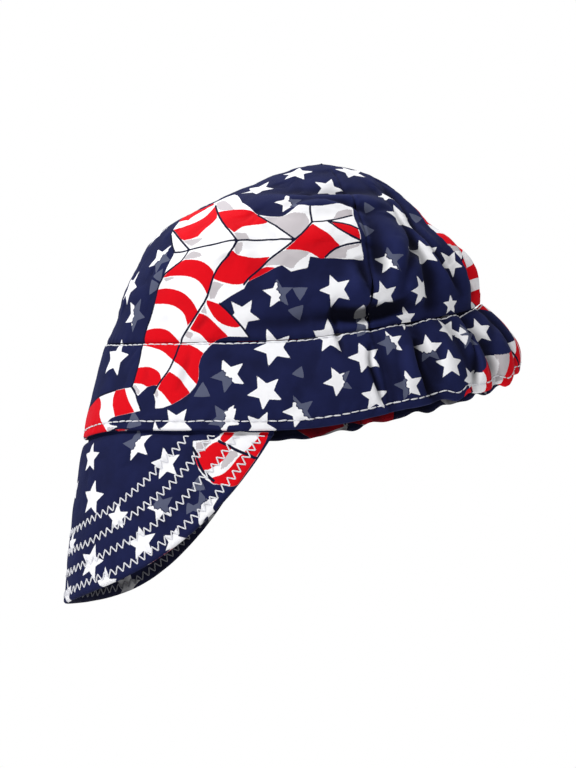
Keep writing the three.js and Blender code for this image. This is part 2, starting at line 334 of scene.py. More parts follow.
def shell_faces(columns, rows):
    """Quads of the outer grid, quads of the inner grid turned round, which has every other point of it,
    and four edge strips, where each face takes three outer points and two inner ones."""
    inner_columns, inner_rows = (columns + 1) // 2, (rows + 1) // 2
    total = columns * rows
    inner = quads(inner_columns, inner_rows, total)[:, ::-1]

    def strip(outer_start, outer_step, inner_start, inner_step, number, turned):
        """Five-cornered faces along one edge, turned round where they would face inwards."""
        k = np.arange(number - 1)
        a = outer_start + 2 * k * outer_step
        b = total + inner_start + k * inner_step
        faces = np.stack([a, b, b + inner_step, a + 2 * outer_step, a + outer_step], -1)
        return faces[:, ::-1] if turned else faces

    strips = [
        strip(0, rows, 0, inner_rows, inner_columns, False),
        strip(rows - 1, rows, inner_rows - 1, inner_rows, inner_columns, True),
        strip(0, 1, 0, 1, inner_rows, True),
        strip((columns - 1) * rows, 1, (inner_columns - 1) * inner_rows, 1, inner_rows, False),
    ]
    return [*quads(columns, rows, 0).tolist(), *inner.tolist(), *np.concatenate(strips).tolist()]


def travel_along(points, axis):
    """The length walked along one way of a grid, from its first point."""
    steps = np.linalg.norm(np.diff(points, axis=axis), axis=-1)
    start = np.zeros_like(np.take(steps, [0], axis=axis))
    return np.concatenate([start, np.cumsum(steps, axis=axis)], axis=axis)


def mesh_object(name, vertices, faces, layers=None, uv=None):
    """A smooth mesh in metres, with a float layer for each ink and a UV map in metres of cloth."""
    mesh = bpy.data.meshes.new(name)
    mesh.from_pydata((vertices / 1000).tolist(), [], faces)
    for layer, values in (layers or {}).items():
        attribute = mesh.attributes.new(layer, "FLOAT", "POINT")
        attribute.data.foreach_set("value", values.astype(np.float32))
    if uv is not None:
        corner = np.empty(len(mesh.loops), np.int32)
        mesh.loops.foreach_get("vertex_index", corner)
        unrolled = (uv[corner] / 1000).astype(np.float32).ravel()
        mesh.uv_layers.new(name="cloth").data.foreach_set("uv", unrolled)
    mesh.shade_smooth()
    mesh.set_sharp_from_angle(angle=0.9)
    piece = bpy.data.objects.new(name, mesh)
    bpy.context.scene.collection.objects.link(piece)
    return piece


def grid_normals(points):
    """Outward normals of a grid, from its own neighbouring points."""
    along, up = np.gradient(points, axis=0), np.gradient(points, axis=1)
    return unit(np.cross(along, up))


def rolled(distance, wall):
    """How far a turned edge draws in: a quarter circle over half the wall's thickness."""
    half = wall / 2
    inside = np.clip(1 - distance / half, 0, 1)
    return half * (1 - np.sqrt(1 - inside**2)) * 0.9


# %% [markdown]
# ## The camera
# The photograph looks at the wearer's left side from a little below, through a long lens. The camera
# is made early, because the print is charted on the photograph: `photo_place` gives the pixel where
# it sees each point.

# %% Camera
PHOTO_WIDTH, PHOTO_HEIGHT = 576, 768
camera_view = dict(azimuth=86.0, elevation=-5.0, distance=1300.0, lens=122.0)
camera_aim = np.array([0.0, -7.0, 26.5])
SENSOR = 36.0

turn, tilt = np.radians(camera_view["azimuth"]), np.radians(camera_view["elevation"])
towards_camera = np.array([np.sin(turn) * np.cos(tilt), -np.cos(turn) * np.cos(tilt), np.sin(tilt)])
camera_place = camera_aim + camera_view["distance"] * towards_camera
camera_right = unit(np.cross(-towards_camera, [0, 0, 1]))
camera_up = np.cross(camera_right, -towards_camera)


def photo_place(points):
    """Pixels across and down where the camera sees points: offsets over depth, times the lens."""
    away = points - camera_place
    depth = away @ -towards_camera
    scale = camera_view["lens"] / SENSOR * PHOTO_HEIGHT / depth
    across = PHOTO_WIDTH / 2 + scale * (away @ camera_right)
    down = PHOTO_HEIGHT / 2 - scale * (away @ camera_up)
    return np.stack([across, down], -1)


lens_data = bpy.data.cameras.new("camera")
lens_data.lens = camera_view["lens"]
lens_data.sensor_width = SENSOR
lens_data.sensor_fit = "AUTO"
lens_data.clip_end = 100
camera = bpy.data.objects.new("camera", lens_data)
bpy.context.scene.collection.objects.link(camera)
camera.location = camera_place / 1000
camera.rotation_euler = Matrix(np.stack([camera_right, camera_up, towards_camera], -1)).to_euler()
bpy.context.scene.camera = camera
print("camera at", (camera_place / 1000).round(3), "m")

# %% [markdown]
# ## The crown and band surfaces
# The four crown panels and the two bands are worked out first as plain grids. The print needs their
# points before any mesh is made.


# %% Crown and band grids
HEM, SCALLOP_LEVEL = 4.5, 0.3
TIP_LEVEL, TIP_FADE = 0.9997, 0.06


def crown_sheet(from_deg, to_deg, columns, rows):
    """The base surface, moved along its normal by folds, creases, seam grooves and ripples."""
    around, level = np.meshgrid(
        np.linspace(from_deg, to_deg, columns), np.linspace(0, TIP_LEVEL, rows), indexing="ij"
    )
    points = crown_base(around, level)
    normals = normal_of(crown_base, around, level)
    across, up = travel_along(points, 0), travel_along(points, 1)
    to_seam = np.minimum(across, across[-1] - across)
    off_tip = np.clip((1 - level) / TIP_FADE, 0, 1)
    push = creases(points, 11) * np.minimum(1, up / 25) - groove("crown_seam", to_seam)
    push = (push + seam_ripple(to_seam, up, depth=0.18, seed=7)) * off_tip + crown_fold(around, level)
    push += seam_ripple(up, around * 1.3, depth=0.22, seed=5) - groove("crown_foot", up)
    outer = points + normals * push[..., None]
    inner = outer - grid_normals(outer) * CROWN_WALL
    return dict(
        outer=outer, inner=inner, around=around, across=across, up=up, fold=push,
        base=points, facing=normals,
    )


def band_sheet(from_deg, to_deg, wall, columns, rows):
    """The base surface, moved by gathers, creases and ripples, with a rolled lower edge."""
    around, level = np.meshgrid(
        np.linspace(from_deg, to_deg, columns), np.linspace(0, 1, rows), indexing="ij"
    )
    points = band_base(around, level)
    points[..., 2] -= hem_scallop(around) * np.clip(1 - level / SCALLOP_LEVEL, 0, 1) ** 2
    normals = normal_of(band_base, around, level)
    across, up = travel_along(points, 0), travel_along(points, 1)
    drop = up[:, -1:] - up
    to_seam = np.minimum(across, across[-1] - across)
    push = band_gather(around, level) + 0.6 * creases(points, 23)
    push -= groove("band_top", drop) + groove("band_side", to_seam) + groove("hem_stitch", up - HEM)
    push += seam_ripple(up - HEM, across, depth=0.2, seed=3)
    push += seam_ripple(drop, across, depth=0.22, seed=5)
    edge = rolled(up, wall)
    outer = points + normals * (push - edge)[..., None]
    inner = points + normals * (push - wall + edge)[..., None]
    return dict(
        outer=outer, inner=inner, around=around, across=across, up=up, fold=push,
        base=points, facing=normals,
    )


COARSE = 1.0


def count(number):
    """An odd number of points, so that the inner grid can take every other one."""
    return 2 * int(number * COARSE / 2) + 1


SEAM = BAND_SEAM_DEG
sheets = {
    "crown_front_left": crown_sheet(0, SEAM, count(300), count(230)),
    "crown_back_left": crown_sheet(SEAM, 180, count(230), count(190)),
    "crown_back_right": crown_sheet(180, 360 - SEAM, count(180), count(150)),
    "crown_front_right": crown_sheet(-SEAM, 0, count(210), count(160)),
    "band_front": band_sheet(-SEAM, SEAM, BAND_WALL, count(560), count(76)),
    "band_back": band_sheet(SEAM, 360 - SEAM, GATHERED_WALL, count(540), count(64)),
}
for name, sheet in sheets.items():
    print(name, sheet["outer"].shape[:2], "points, widest", sheet["across"].max().round(0), "mm")

# %% [markdown]
# ## The peak
# Two cloths are quilted together by rows of zigzag stitches that follow the outer edge. The cloth
# swells a little between the rows. Along the peak, a row keeps its distance from the edge, so that
# distance is worked out on the unrolled cloth, where the edge is a flat curve.


# %% Peak grid
def peak_drop(around):
    """Full length at the front, falling to nothing at the corners by a power of the angle, and a sine
    that hangs the right half lower than the left."""
    share = np.minimum(np.abs(around) / PEAK_SPAN_DEG, 1)
    twist = PEAK_TWIST * np.sin(np.pi * share**PEAK_TWIST_POWER) * np.sign(around)
    return PEAK_LENGTH * (1 - share**PEAK_CORNER_POWER) - twist


def peak_point(around, along):
    """Behind the band where along is negative, and below the rim hanging with a slight flare."""
    inset = BAND_WALL + LAP_GAP
    level = np.maximum(-along, 0) / (BAND_HEIGHT * around_value("tall", around))
    behind = band_base(around, level) - normal_of(band_base, around, level) * inset
    below = np.maximum(along - PEAK_CLEAR, 0)
    emerging = inset * np.exp(-below / PEAK_EMERGE)
    flare = np.radians(PEAK_FLARE_DEG)
    hanging = rim_point(around) + outwards(around) * (below * np.sin(flare) - emerging)[..., None]
    hanging[..., 2] -= along * np.cos(flare)
    return np.where((along < 0)[..., None], behind, hanging)


rim_angles = np.linspace(-PEAK_SPAN_DEG, PEAK_SPAN_DEG, 401)
rim_travel = travel_along(rim_point(rim_angles), 0)
rim_travel = rim_travel - rim_travel[200]
edge_line = np.stack([rim_travel, -PEAK_CLEAR - peak_drop(rim_angles)], -1)


def distance_to_line(points, line):
    """The least distance from each point to a line of many short pieces, how far along it lies, and on
    which side: 1 on the left of the way it runs, and -1 on the right."""
    best = np.full(len(points), 1e9)
    place, side = np.zeros(len(points)), np.ones(len(points))
    walked = 0.0
    for start, end in zip(line[:-1], line[1:]):
        step = end - start
        length = max(np.hypot(*step), 1e-9)
        share = np.clip(((points - start) @ step) / length**2, 0, 1)
        apart = points - start - share[:, None] * step
        away = np.hypot(*apart.T)
        nearer = away < best
        best[nearer] = away[nearer]
        place[nearer] = walked + share[nearer] * length
        side[nearer] = np.where(step[0] * apart[nearer, 1] > step[1] * apart[nearer, 0], 1, -1)
        walked += length
    return best, place, side


ROW_FIRST, ROW_STEP, ROW_COUNT = 4.5, 10.0, 4
QUILT_SWELL, QUILT_POWER, EDGE_SWELL_SHARE, SWELL_FADE_ROWS = 0.55, 0.7, 0.6, 1.2
PUCKER_DEPTH, PUCKER_PERIOD, PUCKER_REACH = 0.16, 5.8, 3.0
PEAK_DRAWN_IN, CORNER_DRAWN_IN, CORNER_FADE, EDGE_ROLL = 0.35, 0.4, 12, 1.4
LAP_SHARE = 0.08


def quilting(to_edge, place):
    """The swell between the stitched rows, a power of a sine, which fades past the last row as a
    parabola. Each row puckers the cloth by a wave along it, times a bell across it."""
    last = ROW_COUNT - 1
    phase = (to_edge - ROW_FIRST) / ROW_STEP
    beyond = np.clip(1 - (phase - last) / SWELL_FADE_ROWS, 0, 1)
    before = np.clip(to_edge / ROW_FIRST, 0, 1)
    swell = np.abs(np.sin(np.pi * np.clip(phase, 0, last))) ** QUILT_POWER
    swell = np.where(phase >= last, 1 - beyond**2, swell)
    swell = np.where(phase <= 0, EDGE_SWELL_SHARE * np.sin(np.pi * before) ** QUILT_POWER, swell)
    from_row = np.abs(phase - np.round(np.clip(phase, 0, last))) * ROW_STEP
    wave = np.sin(place * 2 * np.pi / PUCKER_PERIOD + 1.7 * np.sin(place / 23))
    return QUILT_SWELL * swell + PUCKER_DEPTH * bell(from_row, PUCKER_REACH) * wave


def peak_sheet(columns, rows):
    """Hanging lengths from the edge up to the lap, swollen between the rows of stitches."""
    share = np.linspace(0, 1, rows)
    around, share = np.meshgrid(np.linspace(-PEAK_SPAN_DEG, PEAK_SPAN_DEG, columns), share, indexing="ij")
    hang = np.clip(1 - share / (1 - LAP_SHARE), 0, 1)
    lap = np.clip((share - (1 - LAP_SHARE)) / LAP_SHARE, 0, 1)
    along = (PEAK_CLEAR + peak_drop(around) * hang) * (1 - lap) - PEAK_LAP * lap
    points = peak_point(around, along)
    flat = np.stack([np.interp(around, rim_angles, rim_travel), -along], -1)
    to_edge, place, _ = distance_to_line(flat.reshape(-1, 2), edge_line[::4])
    to_edge, place = to_edge.reshape(around.shape), place.reshape(around.shape)
    out_of_lap = np.clip(1 + along / 3, 0, 1)
    fade = np.clip(peak_drop(around) / CORNER_FADE, 0, 1)
    push = (quilting(to_edge, place) + 0.55 * creases(points, 31)) * out_of_lap
    push = push * fade - CORNER_DRAWN_IN * (1 - fade)
    wall = np.where(along < PEAK_CLEAR, PEAK_WALL, PEAK_WALL - 0.6)
    turned = np.clip(1 - to_edge / EDGE_ROLL, 0, 1)
    edge = 0.85 * (1 - np.sqrt(1 - turned**2)) * (along > PEAK_CLEAR)
    lean = fade[..., None]
    normals = unit(grid_normals(points) * lean + outwards(around) * (1 - lean))
    outer = points + normals * (push - PEAK_DRAWN_IN - edge)[..., None]
    inner = points - normals * (wall + 0.3 + 0.6 * push - edge)[..., None]
    across, up = flat[..., 0], flat[..., 1]
    return dict(outer=outer, inner=inner, around=around, along=along, across=across, up=up, fold=push)


peak = peak_sheet(count(420), count(140))
sheets["peak"] = peak
print("peak hangs to", peak["outer"][..., 2].min().round(1), "mm")

# %% [markdown]
# ## Placing the print
# The cloth is printed before it is cut, in navy with white stars and with ribbons of red and white
# stripes. An image texture could carry it, but the print is worked out instead as distances: for each
# ink, every point of the cloth holds how far inside that ink it lies, in millimetres. The shader
# turns the distance into an edge, which stays crisp between points.
#
# A place on the photograph becomes a place on the cloth by looking up the points that the camera
# sees nearest to that pixel.


# %% Finding a place on the cloth
BARELY_SEEN, WELL_SEEN = 0.03, 0.12
RIGHT_OF_MIDDLE = -2.0


def seen_points(names):
    """Outer points that face the camera, with their normals and pixels."""
    points, normals = [], []
    for name in names:
        sheet = sheets[name]
        shown = slice(None) if name != "peak" else sheet["along"] > 0
        points.append(sheet["outer"][shown].reshape(-1, 3))
        normals.append(grid_normals(sheet["outer"])[shown].reshape(-1, 3))
    points, normals = np.concatenate(points), np.concatenate(normals)
    facing = (normals @ towards_camera > BARELY_SEEN) & (points[:, 0] > 2 * RIGHT_OF_MIDDLE)
    return dict(points=points[facing], normals=normals[facing], pixels=photo_place(points[facing]))


cap_names = [name for name in sheets if name != "peak"]
cap_seen = seen_points(cap_names)
peak_seen = seen_points(["peak"])


def on_cloth(seen, photo_x, photo_y):
    """The mean place and normal of the four points seen nearest to a pixel, nearer ones weighing more."""
    pixel = np.array([photo_x, photo_y], float)
    away = np.linalg.norm(seen["pixels"] - pixel, axis=1)
    nearest = np.argpartition(away, 4)[:4]
    weight = 1 / (away[nearest] + 0.15) ** 2
    weight = (weight / weight.sum())[:, None]
    return (seen["points"][nearest] * weight).sum(0), unit((seen["normals"][nearest] * weight).sum(0))


print("the camera sees", len(cap_seen["points"]), "points of the crown and bands")

# %% [markdown]
# ## Folds charted on the photograph
# Most folds of worn cloth follow no rule. Each of these runs along a line charted on the photograph,
# which is carried to the cloth and flattened as seen from inside the head. That keeps its shape where
# the camera sees the cloth edge on. A fold is a bell across its line and dies out towards both ends.

# %% Charted folds
charted_folds = [
    dict(photo_x=[360, 366, 372, 379], photo_y=[256, 273, 288, 303], depth=-2.6, spread=3.0),
    dict(photo_x=[351, 357, 362], photo_y=[262, 280, 298], depth=1.0, spread=3.0),
    dict(photo_x=[407, 414, 413, 408, 404, 408], photo_y=[221, 240, 260, 274, 291, 304],
         depth=-2.6, spread=3.6),
    dict(photo_x=[398, 400, 396, 393], photo_y=[236, 256, 272, 288], depth=1.0, spread=4.0),
    dict(photo_x=[330, 352, 377, 404, 420], photo_y=[306, 319, 314, 305, 301], depth=-2.4, spread=3.4),
    dict(photo_x=[364, 377, 397, 415, 428, 444, 461], photo_y=[177, 192, 210, 232, 250, 274, 294],
         depth=1.3, spread=2.2),
    dict(photo_x=[372, 390, 408, 422, 438, 453, 465], photo_y=[176, 193, 212, 232, 254, 279, 296],
         depth=-2.4, spread=2.2),
    dict(photo_x=[455, 466, 479], photo_y=[258, 274, 297], depth=-2.6, spread=2.6),
    dict(photo_x=[331, 334, 340, 342], photo_y=[300, 318, 338, 354], depth=-1.6, spread=1.6),
    dict(photo_x=[371, 370, 377, 384], photo_y=[342, 362, 380, 405], depth=-2.8, spread=1.6),
    dict(photo_x=[400, 397, 402, 405], photo_y=[340, 360, 380, 398], depth=-1.2, spread=2.2),
    dict(photo_x=[415, 420, 428, 431], photo_y=[338, 362, 384, 398], depth=-3.2, spread=1.8),
    dict(photo_x=[408, 412, 420], photo_y=[345, 365, 385], depth=1.0, spread=2.6),
    dict(photo_x=[440, 438, 441], photo_y=[335, 355, 385], depth=-1.3, spread=2.0),
    dict(photo_x=[460, 474, 477, 475], photo_y=[317, 338, 362, 385], depth=-3.0, spread=1.7),
    dict(photo_x=[488, 492, 489], photo_y=[318, 334, 350], depth=-1.6, spread=2.2),
    dict(photo_x=[283, 300, 320, 340, 354, 373, 392], photo_y=[206, 198, 195, 198, 205, 209, 210],
         depth=-2.4, spread=3.2),
    dict(photo_x=[286, 302, 322, 346, 366], photo_y=[214, 206, 204, 206, 216], depth=1.1, spread=3.0),
    dict(photo_x=[190, 187, 181, 174], photo_y=[347, 362, 380, 394], depth=-0.8, spread=2.2),
    dict(photo_x=[208, 202, 196], photo_y=[316, 323, 331], depth=-0.7, spread=1.6),
    dict(photo_x=[222, 212, 205], photo_y=[322, 334, 343], depth=0.6, spread=2.6),
    dict(photo_x=[240, 262, 285, 310], photo_y=[330, 324, 326, 322], depth=-1.0, spread=4.0),
    dict(photo_x=[150, 146, 140], photo_y=[350, 372, 392], depth=-0.5, spread=3.0),
    dict(photo_x=[205, 226, 250, 280], photo_y=[362, 356, 362, 376], depth=-0.7, spread=4.0),
]
HEAD_CENTRE = np.array([0.0, -5.0, 45.0])
HEAD_RADIUS = 90.0
POLE_GUARD = 1.02
LEFT_MIDDLE, BACK_MIDDLE = [0, 1, 2], [1, 0, 2]


def as_seen_from_inside(points, order=LEFT_MIDDLE):
    """Stereographic places of cloth points round the head's centre, with the left side or the back in
    the middle, and the millimetres of cloth for each unit there. The guard keeps the far pole finite."""
    away = (points - HEAD_CENTRE)[..., order]
    reach = np.linalg.norm(away, axis=-1)
    direction = away / reach[..., None]
    flat = direction[..., 1:] * 2 / (POLE_GUARD + direction[..., :1])
    return flat, reach * (POLE_GUARD + direction[..., 0]) / 2


def softened(loop, closed=True):
    """A loop with each slight corner cut, a quarter of the way along both its edges. Sharp ones stay."""
    to_before, to_after = np.roll(loop, 1, axis=0) - loop, np.roll(loop, -1, axis=0) - loop
    straightness = -(unit(to_before) * unit(to_after)).sum(-1)
    cut = np.stack([loop + 0.25 * to_before, loop + 0.25 * to_after], 1)
    sharp = straightness < 0.62
    cut[sharp] = loop[sharp][:, None]
    cut = cut.reshape(-1, 2)
    return cut if closed else np.concatenate([loop[:1], cut[2:-2], loop[-1:]])


def chart_line(seen, row):
    """A charted loop or line on the cloth, flattened as seen from inside."""
    places = [on_cloth(seen, x, y)[0] for x, y in zip(row["photo_x"], row["photo_y"])]
    return as_seen_from_inside(np.array(places))[0]


def near_chart(flat, line, reach):
    """Which flat points lie in a line's box, widened by a reach."""
    box = (flat > line.min(0) - reach) & (flat < line.max(0) + reach)
    return np.flatnonzero(box.all(-1))


def add_charted_folds(sheet, seen):
    """Moves the left side's cloth along its normal by a bell across each line, times the square root of
    a sine along it."""
    grid = sheet["around"].shape
    points = sheet["outer"].reshape(-1, 3)
    flat, scale = as_seen_from_inside(points)
    push = np.zeros(len(points))
    for row in charted_folds:
        line = softened(chart_line(seen, row), closed=False)
        near = near_chart(flat, line, 8 * row["spread"] / HEAD_RADIUS)
        near = near[points[near, 0] > RIGHT_OF_MIDDLE]
        if len(near):
            distance, place, _ = distance_to_line(flat[near], line)
            length = np.linalg.norm(np.diff(line, axis=0), axis=1).sum()
            ends = np.sqrt(np.sin(np.pi * np.clip(place / length, 0, 1)))
            push[near] += row["depth"] * bell(distance * scale[near], row["spread"]) * ends
    moved = grid_normals(sheet["outer"]) * push.reshape(*grid, 1)
    sheet.update(outer=sheet["outer"] + moved, inner=sheet["inner"] + moved)
    sheet["fold"] = sheet["fold"] + push.reshape(grid)


for name in cap_names:
    add_charted_folds(sheets[name], cap_seen)
print(len(charted_folds), "folds are charted")

# %% [markdown]
# ## Sewn edges
# Two sheets that share a seam start from one curve, and their ripples would carry one wall through the
# other. So each wall is set back from the curve. At the upright seams the outer faces all but meet,
# because a slit there would let light through from behind.

# %% Sewn edges
SEAM_SLIT, OUTER_SLIT, SEAM_REACH = 0.12, 0.01, 2.5
COLUMNS, ROWS = 0, 1


def set_back(sheet, index, axis):
    """Keeps a sheet a hair inside its first or last column or row. The way in is square to the edge and
    to the surface, or straight up or down for a row. A point that lies less than the slit inside is
    moved in to it."""
    line = np.take(sheet["base"], [index], axis)
    beside = np.take(sheet["base"], [3 if index == 0 else -4], axis)
    inwards = np.broadcast_to([0.0, 0.0, 1.0], line.shape)
    if axis == COLUMNS:
        run = np.gradient(line, axis=ROWS)
        inwards = unit(np.cross(run, np.take(sheet["facing"], [index], axis)))
    inwards = inwards * np.sign(np.sum(inwards * (beside - line), -1, keepdims=True))
    walked = sheet["across" if axis == COLUMNS else "up"]
    near = np.abs(walked - np.take(walked, [index], axis)) < SEAM_REACH
    slits = dict(outer=OUTER_SLIT if axis == COLUMNS else SEAM_SLIT, inner=SEAM_SLIT)
    for face, slit in slits.items():
        inside = np.sum((sheet[face] - line) * inwards, -1)
        move = np.clip(slit - inside, 0, None) * near
        sheet[face] = sheet[face] + inwards * move[..., None]


for name in cap_names:
    set_back(sheets[name], 0, COLUMNS)
    set_back(sheets[name], -1, COLUMNS)
    set_back(sheets[name], 0 if name.startswith("crown") else -1, ROWS)
cap_seen = seen_points(cap_names)
print("the walls of sewn edges stand", 2 * SEAM_SLIT, "mm apart")

# %% [markdown]
# ## Stars
# A five-point star is one straight edge seen ten times: the angle is folded into the tenth between a
# tip and the next notch, and the distance is measured from the edge that joins them. Some stars are
# grey on one side of a ragged line: `grey_turn` says which way, in degrees clockwise from up, and
# `grey_from` how far out, as a share of the size. A star whose row gives neither is white throughout.
# `turn` is the top tip's lean to the left.

# %% Star charts
NOTCH_SHARE, CHIP_NOTCH_SHARE = 0.46, 0.56
ALL_WHITE = 2

crown_stars = [
    dict(photo_x=258, photo_y=190, turn=57, size=9),
    dict(photo_x=296.7, photo_y=173, turn=3, size=8.4),
    dict(photo_x=350.5, photo_y=172, turn=5, size=8.6),
    dict(photo_x=328.8, photo_y=189, turn=-24, size=8),
    dict(photo_x=289, photo_y=203.7, turn=10, size=7.2, grey_turn=80, grey_from=0.1),
    dict(photo_x=386.5, photo_y=196.5, turn=12, size=5),
    dict(photo_x=400, photo_y=218, turn=10, size=8.4),
    dict(photo_x=389.5, photo_y=260.5, turn=13, size=7.6, grey_turn=50, grey_from=0.05),
    dict(photo_x=424.5, photo_y=253, turn=22, size=7.8),
    dict(photo_x=384, photo_y=296, turn=20, size=7.4),
    dict(photo_x=422, photo_y=290, turn=28, size=7.6),
    dict(photo_x=406.5, photo_y=318.5, turn=12, size=5.4),
    dict(photo_x=450.5, photo_y=263, turn=40, size=7.2),
    dict(photo_x=451, photo_y=305, turn=10, size=5.2),
    dict(photo_x=471.5, photo_y=303.5, turn=30, size=5),
    dict(photo_x=242.5, photo_y=315.2, turn=-33, size=8.6),
    dict(photo_x=278, photo_y=293.5, turn=5, size=7.6, grey_turn=75, grey_from=0.05),
    dict(photo_x=336, photo_y=289.8, turn=20, size=8.2),
    dict(photo_x=135, photo_y=314.6, turn=-32, size=9, grey_turn=90, grey_from=-0.15),
    dict(photo_x=160.1, photo_y=258.8, turn=-32, size=8.6, grey_turn=130, grey_from=0),
    dict(photo_x=130, photo_y=288, turn=-20, size=9.6),
    dict(photo_x=273.8, photo_y=347.8, turn=22, size=9.6),
    dict(photo_x=329.9, photo_y=338, turn=8, size=8),
    dict(photo_x=116.3, photo_y=358.6, turn=-9, size=10.2),
    dict(photo_x=228.5, photo_y=375.2, turn=24, size=9, grey_turn=225, grey_from=0.05),
    dict(photo_x=265.3, photo_y=392, turn=28, size=8.9),
    dict(photo_x=299.1, photo_y=411.5, turn=20, size=8.2, grey_turn=50, grey_from=0.1),
    dict(photo_x=338.6, photo_y=381.3, turn=26, size=7.6, grey_turn=90, grey_from=0.3),
    dict(photo_x=365.5, photo_y=357.5, turn=12, size=8.2),
    dict(photo_x=375.7, photo_y=396.5, turn=6, size=7.4),
    dict(photo_x=390.8, photo_y=342.5, turn=20, size=6.8, grey_turn=235, grey_from=-0.15),
    dict(photo_x=428.5, photo_y=349, turn=10, size=7.6, grey_turn=170, grey_from=0.2),
    dict(photo_x=447.5, photo_y=330, turn=25, size=7),
    dict(photo_x=451, photo_y=364, turn=5, size=7.4),
    dict(photo_x=409.3, photo_y=385.6, turn=15, size=7.6, grey_turn=255, grey_from=0.1),
    dict(photo_x=479.5, photo_y=331.4, turn=16, size=7.4),
    dict(photo_x=466.5, photo_y=336, turn=20, size=7.2, grey_turn=90, grey_from=-0.5),
    dict(photo_x=470.9, photo_y=379, turn=30, size=6.5),
    dict(photo_x=176.2, photo_y=424, turn=-38, size=8.8),
    dict(photo_x=223.9, photo_y=419.1, turn=35, size=8.2, grey_turn=290, grey_from=-0.1),
    dict(photo_x=259.8, photo_y=427.7, turn=-26, size=8.4),
]
peak_stars = [
    dict(photo_x=90.7, photo_y=457.7, turn=0, size=7.8),
    dict(photo_x=92.2, photo_y=498.4, turn=-5, size=9.2),
    dict(photo_x=136.7, photo_y=443.9, turn=14, size=8.8, grey_turn=300, grey_from=0.05),
    dict(photo_x=166, photo_y=464, turn=13, size=8.2),
    dict(photo_x=117.3, photo_y=517.5, turn=4, size=7),
    dict(photo_x=91.5, photo_y=562.7, turn=-12, size=9),
    dict(photo_x=141.7, photo_y=543.1, turn=15, size=8.4),
    dict(photo_x=160.6, photo_y=506.7, turn=20, size=7.6, grey_turn=20, grey_from=-0.2),
    dict(photo_x=174.5, photo_y=541, turn=-8, size=6.4),
    dict(photo_x=205, photo_y=508, turn=20, size=8.4, grey_turn=300, grey_from=0.2),
    dict(photo_x=71.5, photo_y=545, turn=4, size=7.2),
    dict(photo_x=109, photo_y=587, turn=16, size=6.6),
]
grey_chips = [
    dict(photo_x=300, photo_y=291.8, turn=60, size=4.2),
    dict(photo_x=297, photo_y=312, turn=80, size=4.6),
    dict(photo_x=202.2, photo_y=391.4, turn=0, size=4.8),
    dict(photo_x=299.2, photo_y=373, turn=-20, size=3.6),
    dict(photo_x=154, photo_y=286.6, turn=30, size=4.6),
    dict(photo_x=158.8, photo_y=275.5, turn=-30, size=4),
    dict(photo_x=500, photo_y=324, turn=10, size=6.2),
    dict(photo_x=366, photo_y=230, turn=45, size=5),
    dict(photo_x=414.6, photo_y=219.5, turn=40, size=4.2),
    dict(photo_x=134, photo_y=421.5, turn=10, size=5.4),
    dict(photo_x=368, photo_y=208, turn=30, size=3.6),
    dict(photo_x=361.5, photo_y=328, turn=20, size=4.2),
]
white_chips = [
    dict(photo_x=361, photo_y=312, turn=15, size=5),
    dict(photo_x=363, photo_y=322, turn=-10, size=3.4),
    dict(photo_x=462, photo_y=331, turn=20, size=2.6),
    dict(photo_x=464, photo_y=339, turn=70, size=3.2),
    dict(photo_x=231, photo_y=414, turn=75, size=3.6),
    dict(photo_x=157, photo_y=506, turn=10, size=3.4),
    dict(photo_x=166, photo_y=510, turn=60, size=3.2),
]
peak_chips = [
    dict(photo_x=198.2, photo_y=485.3, turn=0, size=4.4),
    dict(photo_x=190, photo_y=508, turn=30, size=3.4),
]


def star_depth(x, y, turn, size, tips=5, notch=NOTCH_SHARE):
    """How far inside a star a flat point lies: its distance from the folded edge, positive inside."""
    angle = np.arctan2(x, y) + np.radians(turn)
    tenth = np.pi / tips
    folded = np.abs((angle + tenth) % (2 * tenth) - tenth)
    reach = np.hypot(x, y)
    px, py = reach * np.sin(folded), reach * np.cos(folded)
    notch_x, notch_y = size * notch * np.sin(tenth), size * notch * np.cos(tenth)
    edge_x, edge_y = notch_x, notch_y - size
    return (px * -edge_y + (py - size) * edge_x) / -np.hypot(edge_x, edge_y)


def flat_round(points, place, normal, radius):
    """Points near a place, and where they lie on the plane that touches the cloth there, up being up."""
    away = points - place
    near = np.flatnonzero((np.abs(away) < radius).all(-1))
    up = unit(np.array([0, 0, 1]) - normal * normal[2])
    right = np.cross(up, normal)
    return near, away[near] @ right, away[near] @ up


def print_star(inks, points, place, normal, row):
    """A star that is white as far as a ragged line across it, and grey beyond that line."""
    near, x, y = flat_round(points, place, normal, row["size"] + 3)
    star = star_depth(x, y, row["turn"], row["size"])
    towards = np.radians(row.get("grey_turn", 0))
    along = x * np.sin(towards) + y * np.cos(towards)
    across = x * np.cos(towards) - y * np.sin(towards)
    ragged = 0.5 * np.sin(1.3 * across + 1) + 0.3 * np.sin(3.1 * across + row["turn"])
    beyond = along - row.get("grey_from", ALL_WHITE) * row["size"] - ragged
    inks["ink_white"][near] = np.maximum(inks["ink_white"][near], np.minimum(star, -beyond))
    inks["ink_echo"][near] = np.maximum(inks["ink_echo"][near], np.minimum(star, beyond - 0.5))


def print_chip(layer, points, place, normal, row):
    """A small three-cornered scrap."""
    near, x, y = flat_round(points, place, normal, row["size"] + 2)
    chip = star_depth(x, y, row["turn"], row["size"], tips=3, notch=CHIP_NOTCH_SHARE)
    layer[near] = np.maximum(layer[near], chip)


print(len(crown_stars) + len(peak_stars), "stars are charted")

# %% [markdown]
# ## Ribbons of stripes
# A wide ribbon of wavy red and white stripes, with thin navy lines where it folds, crosses the crown
# and curls down over the band. Each patch is a loop of places charted on the photograph, carried to
# the cloth and flattened in the same way as the folds.

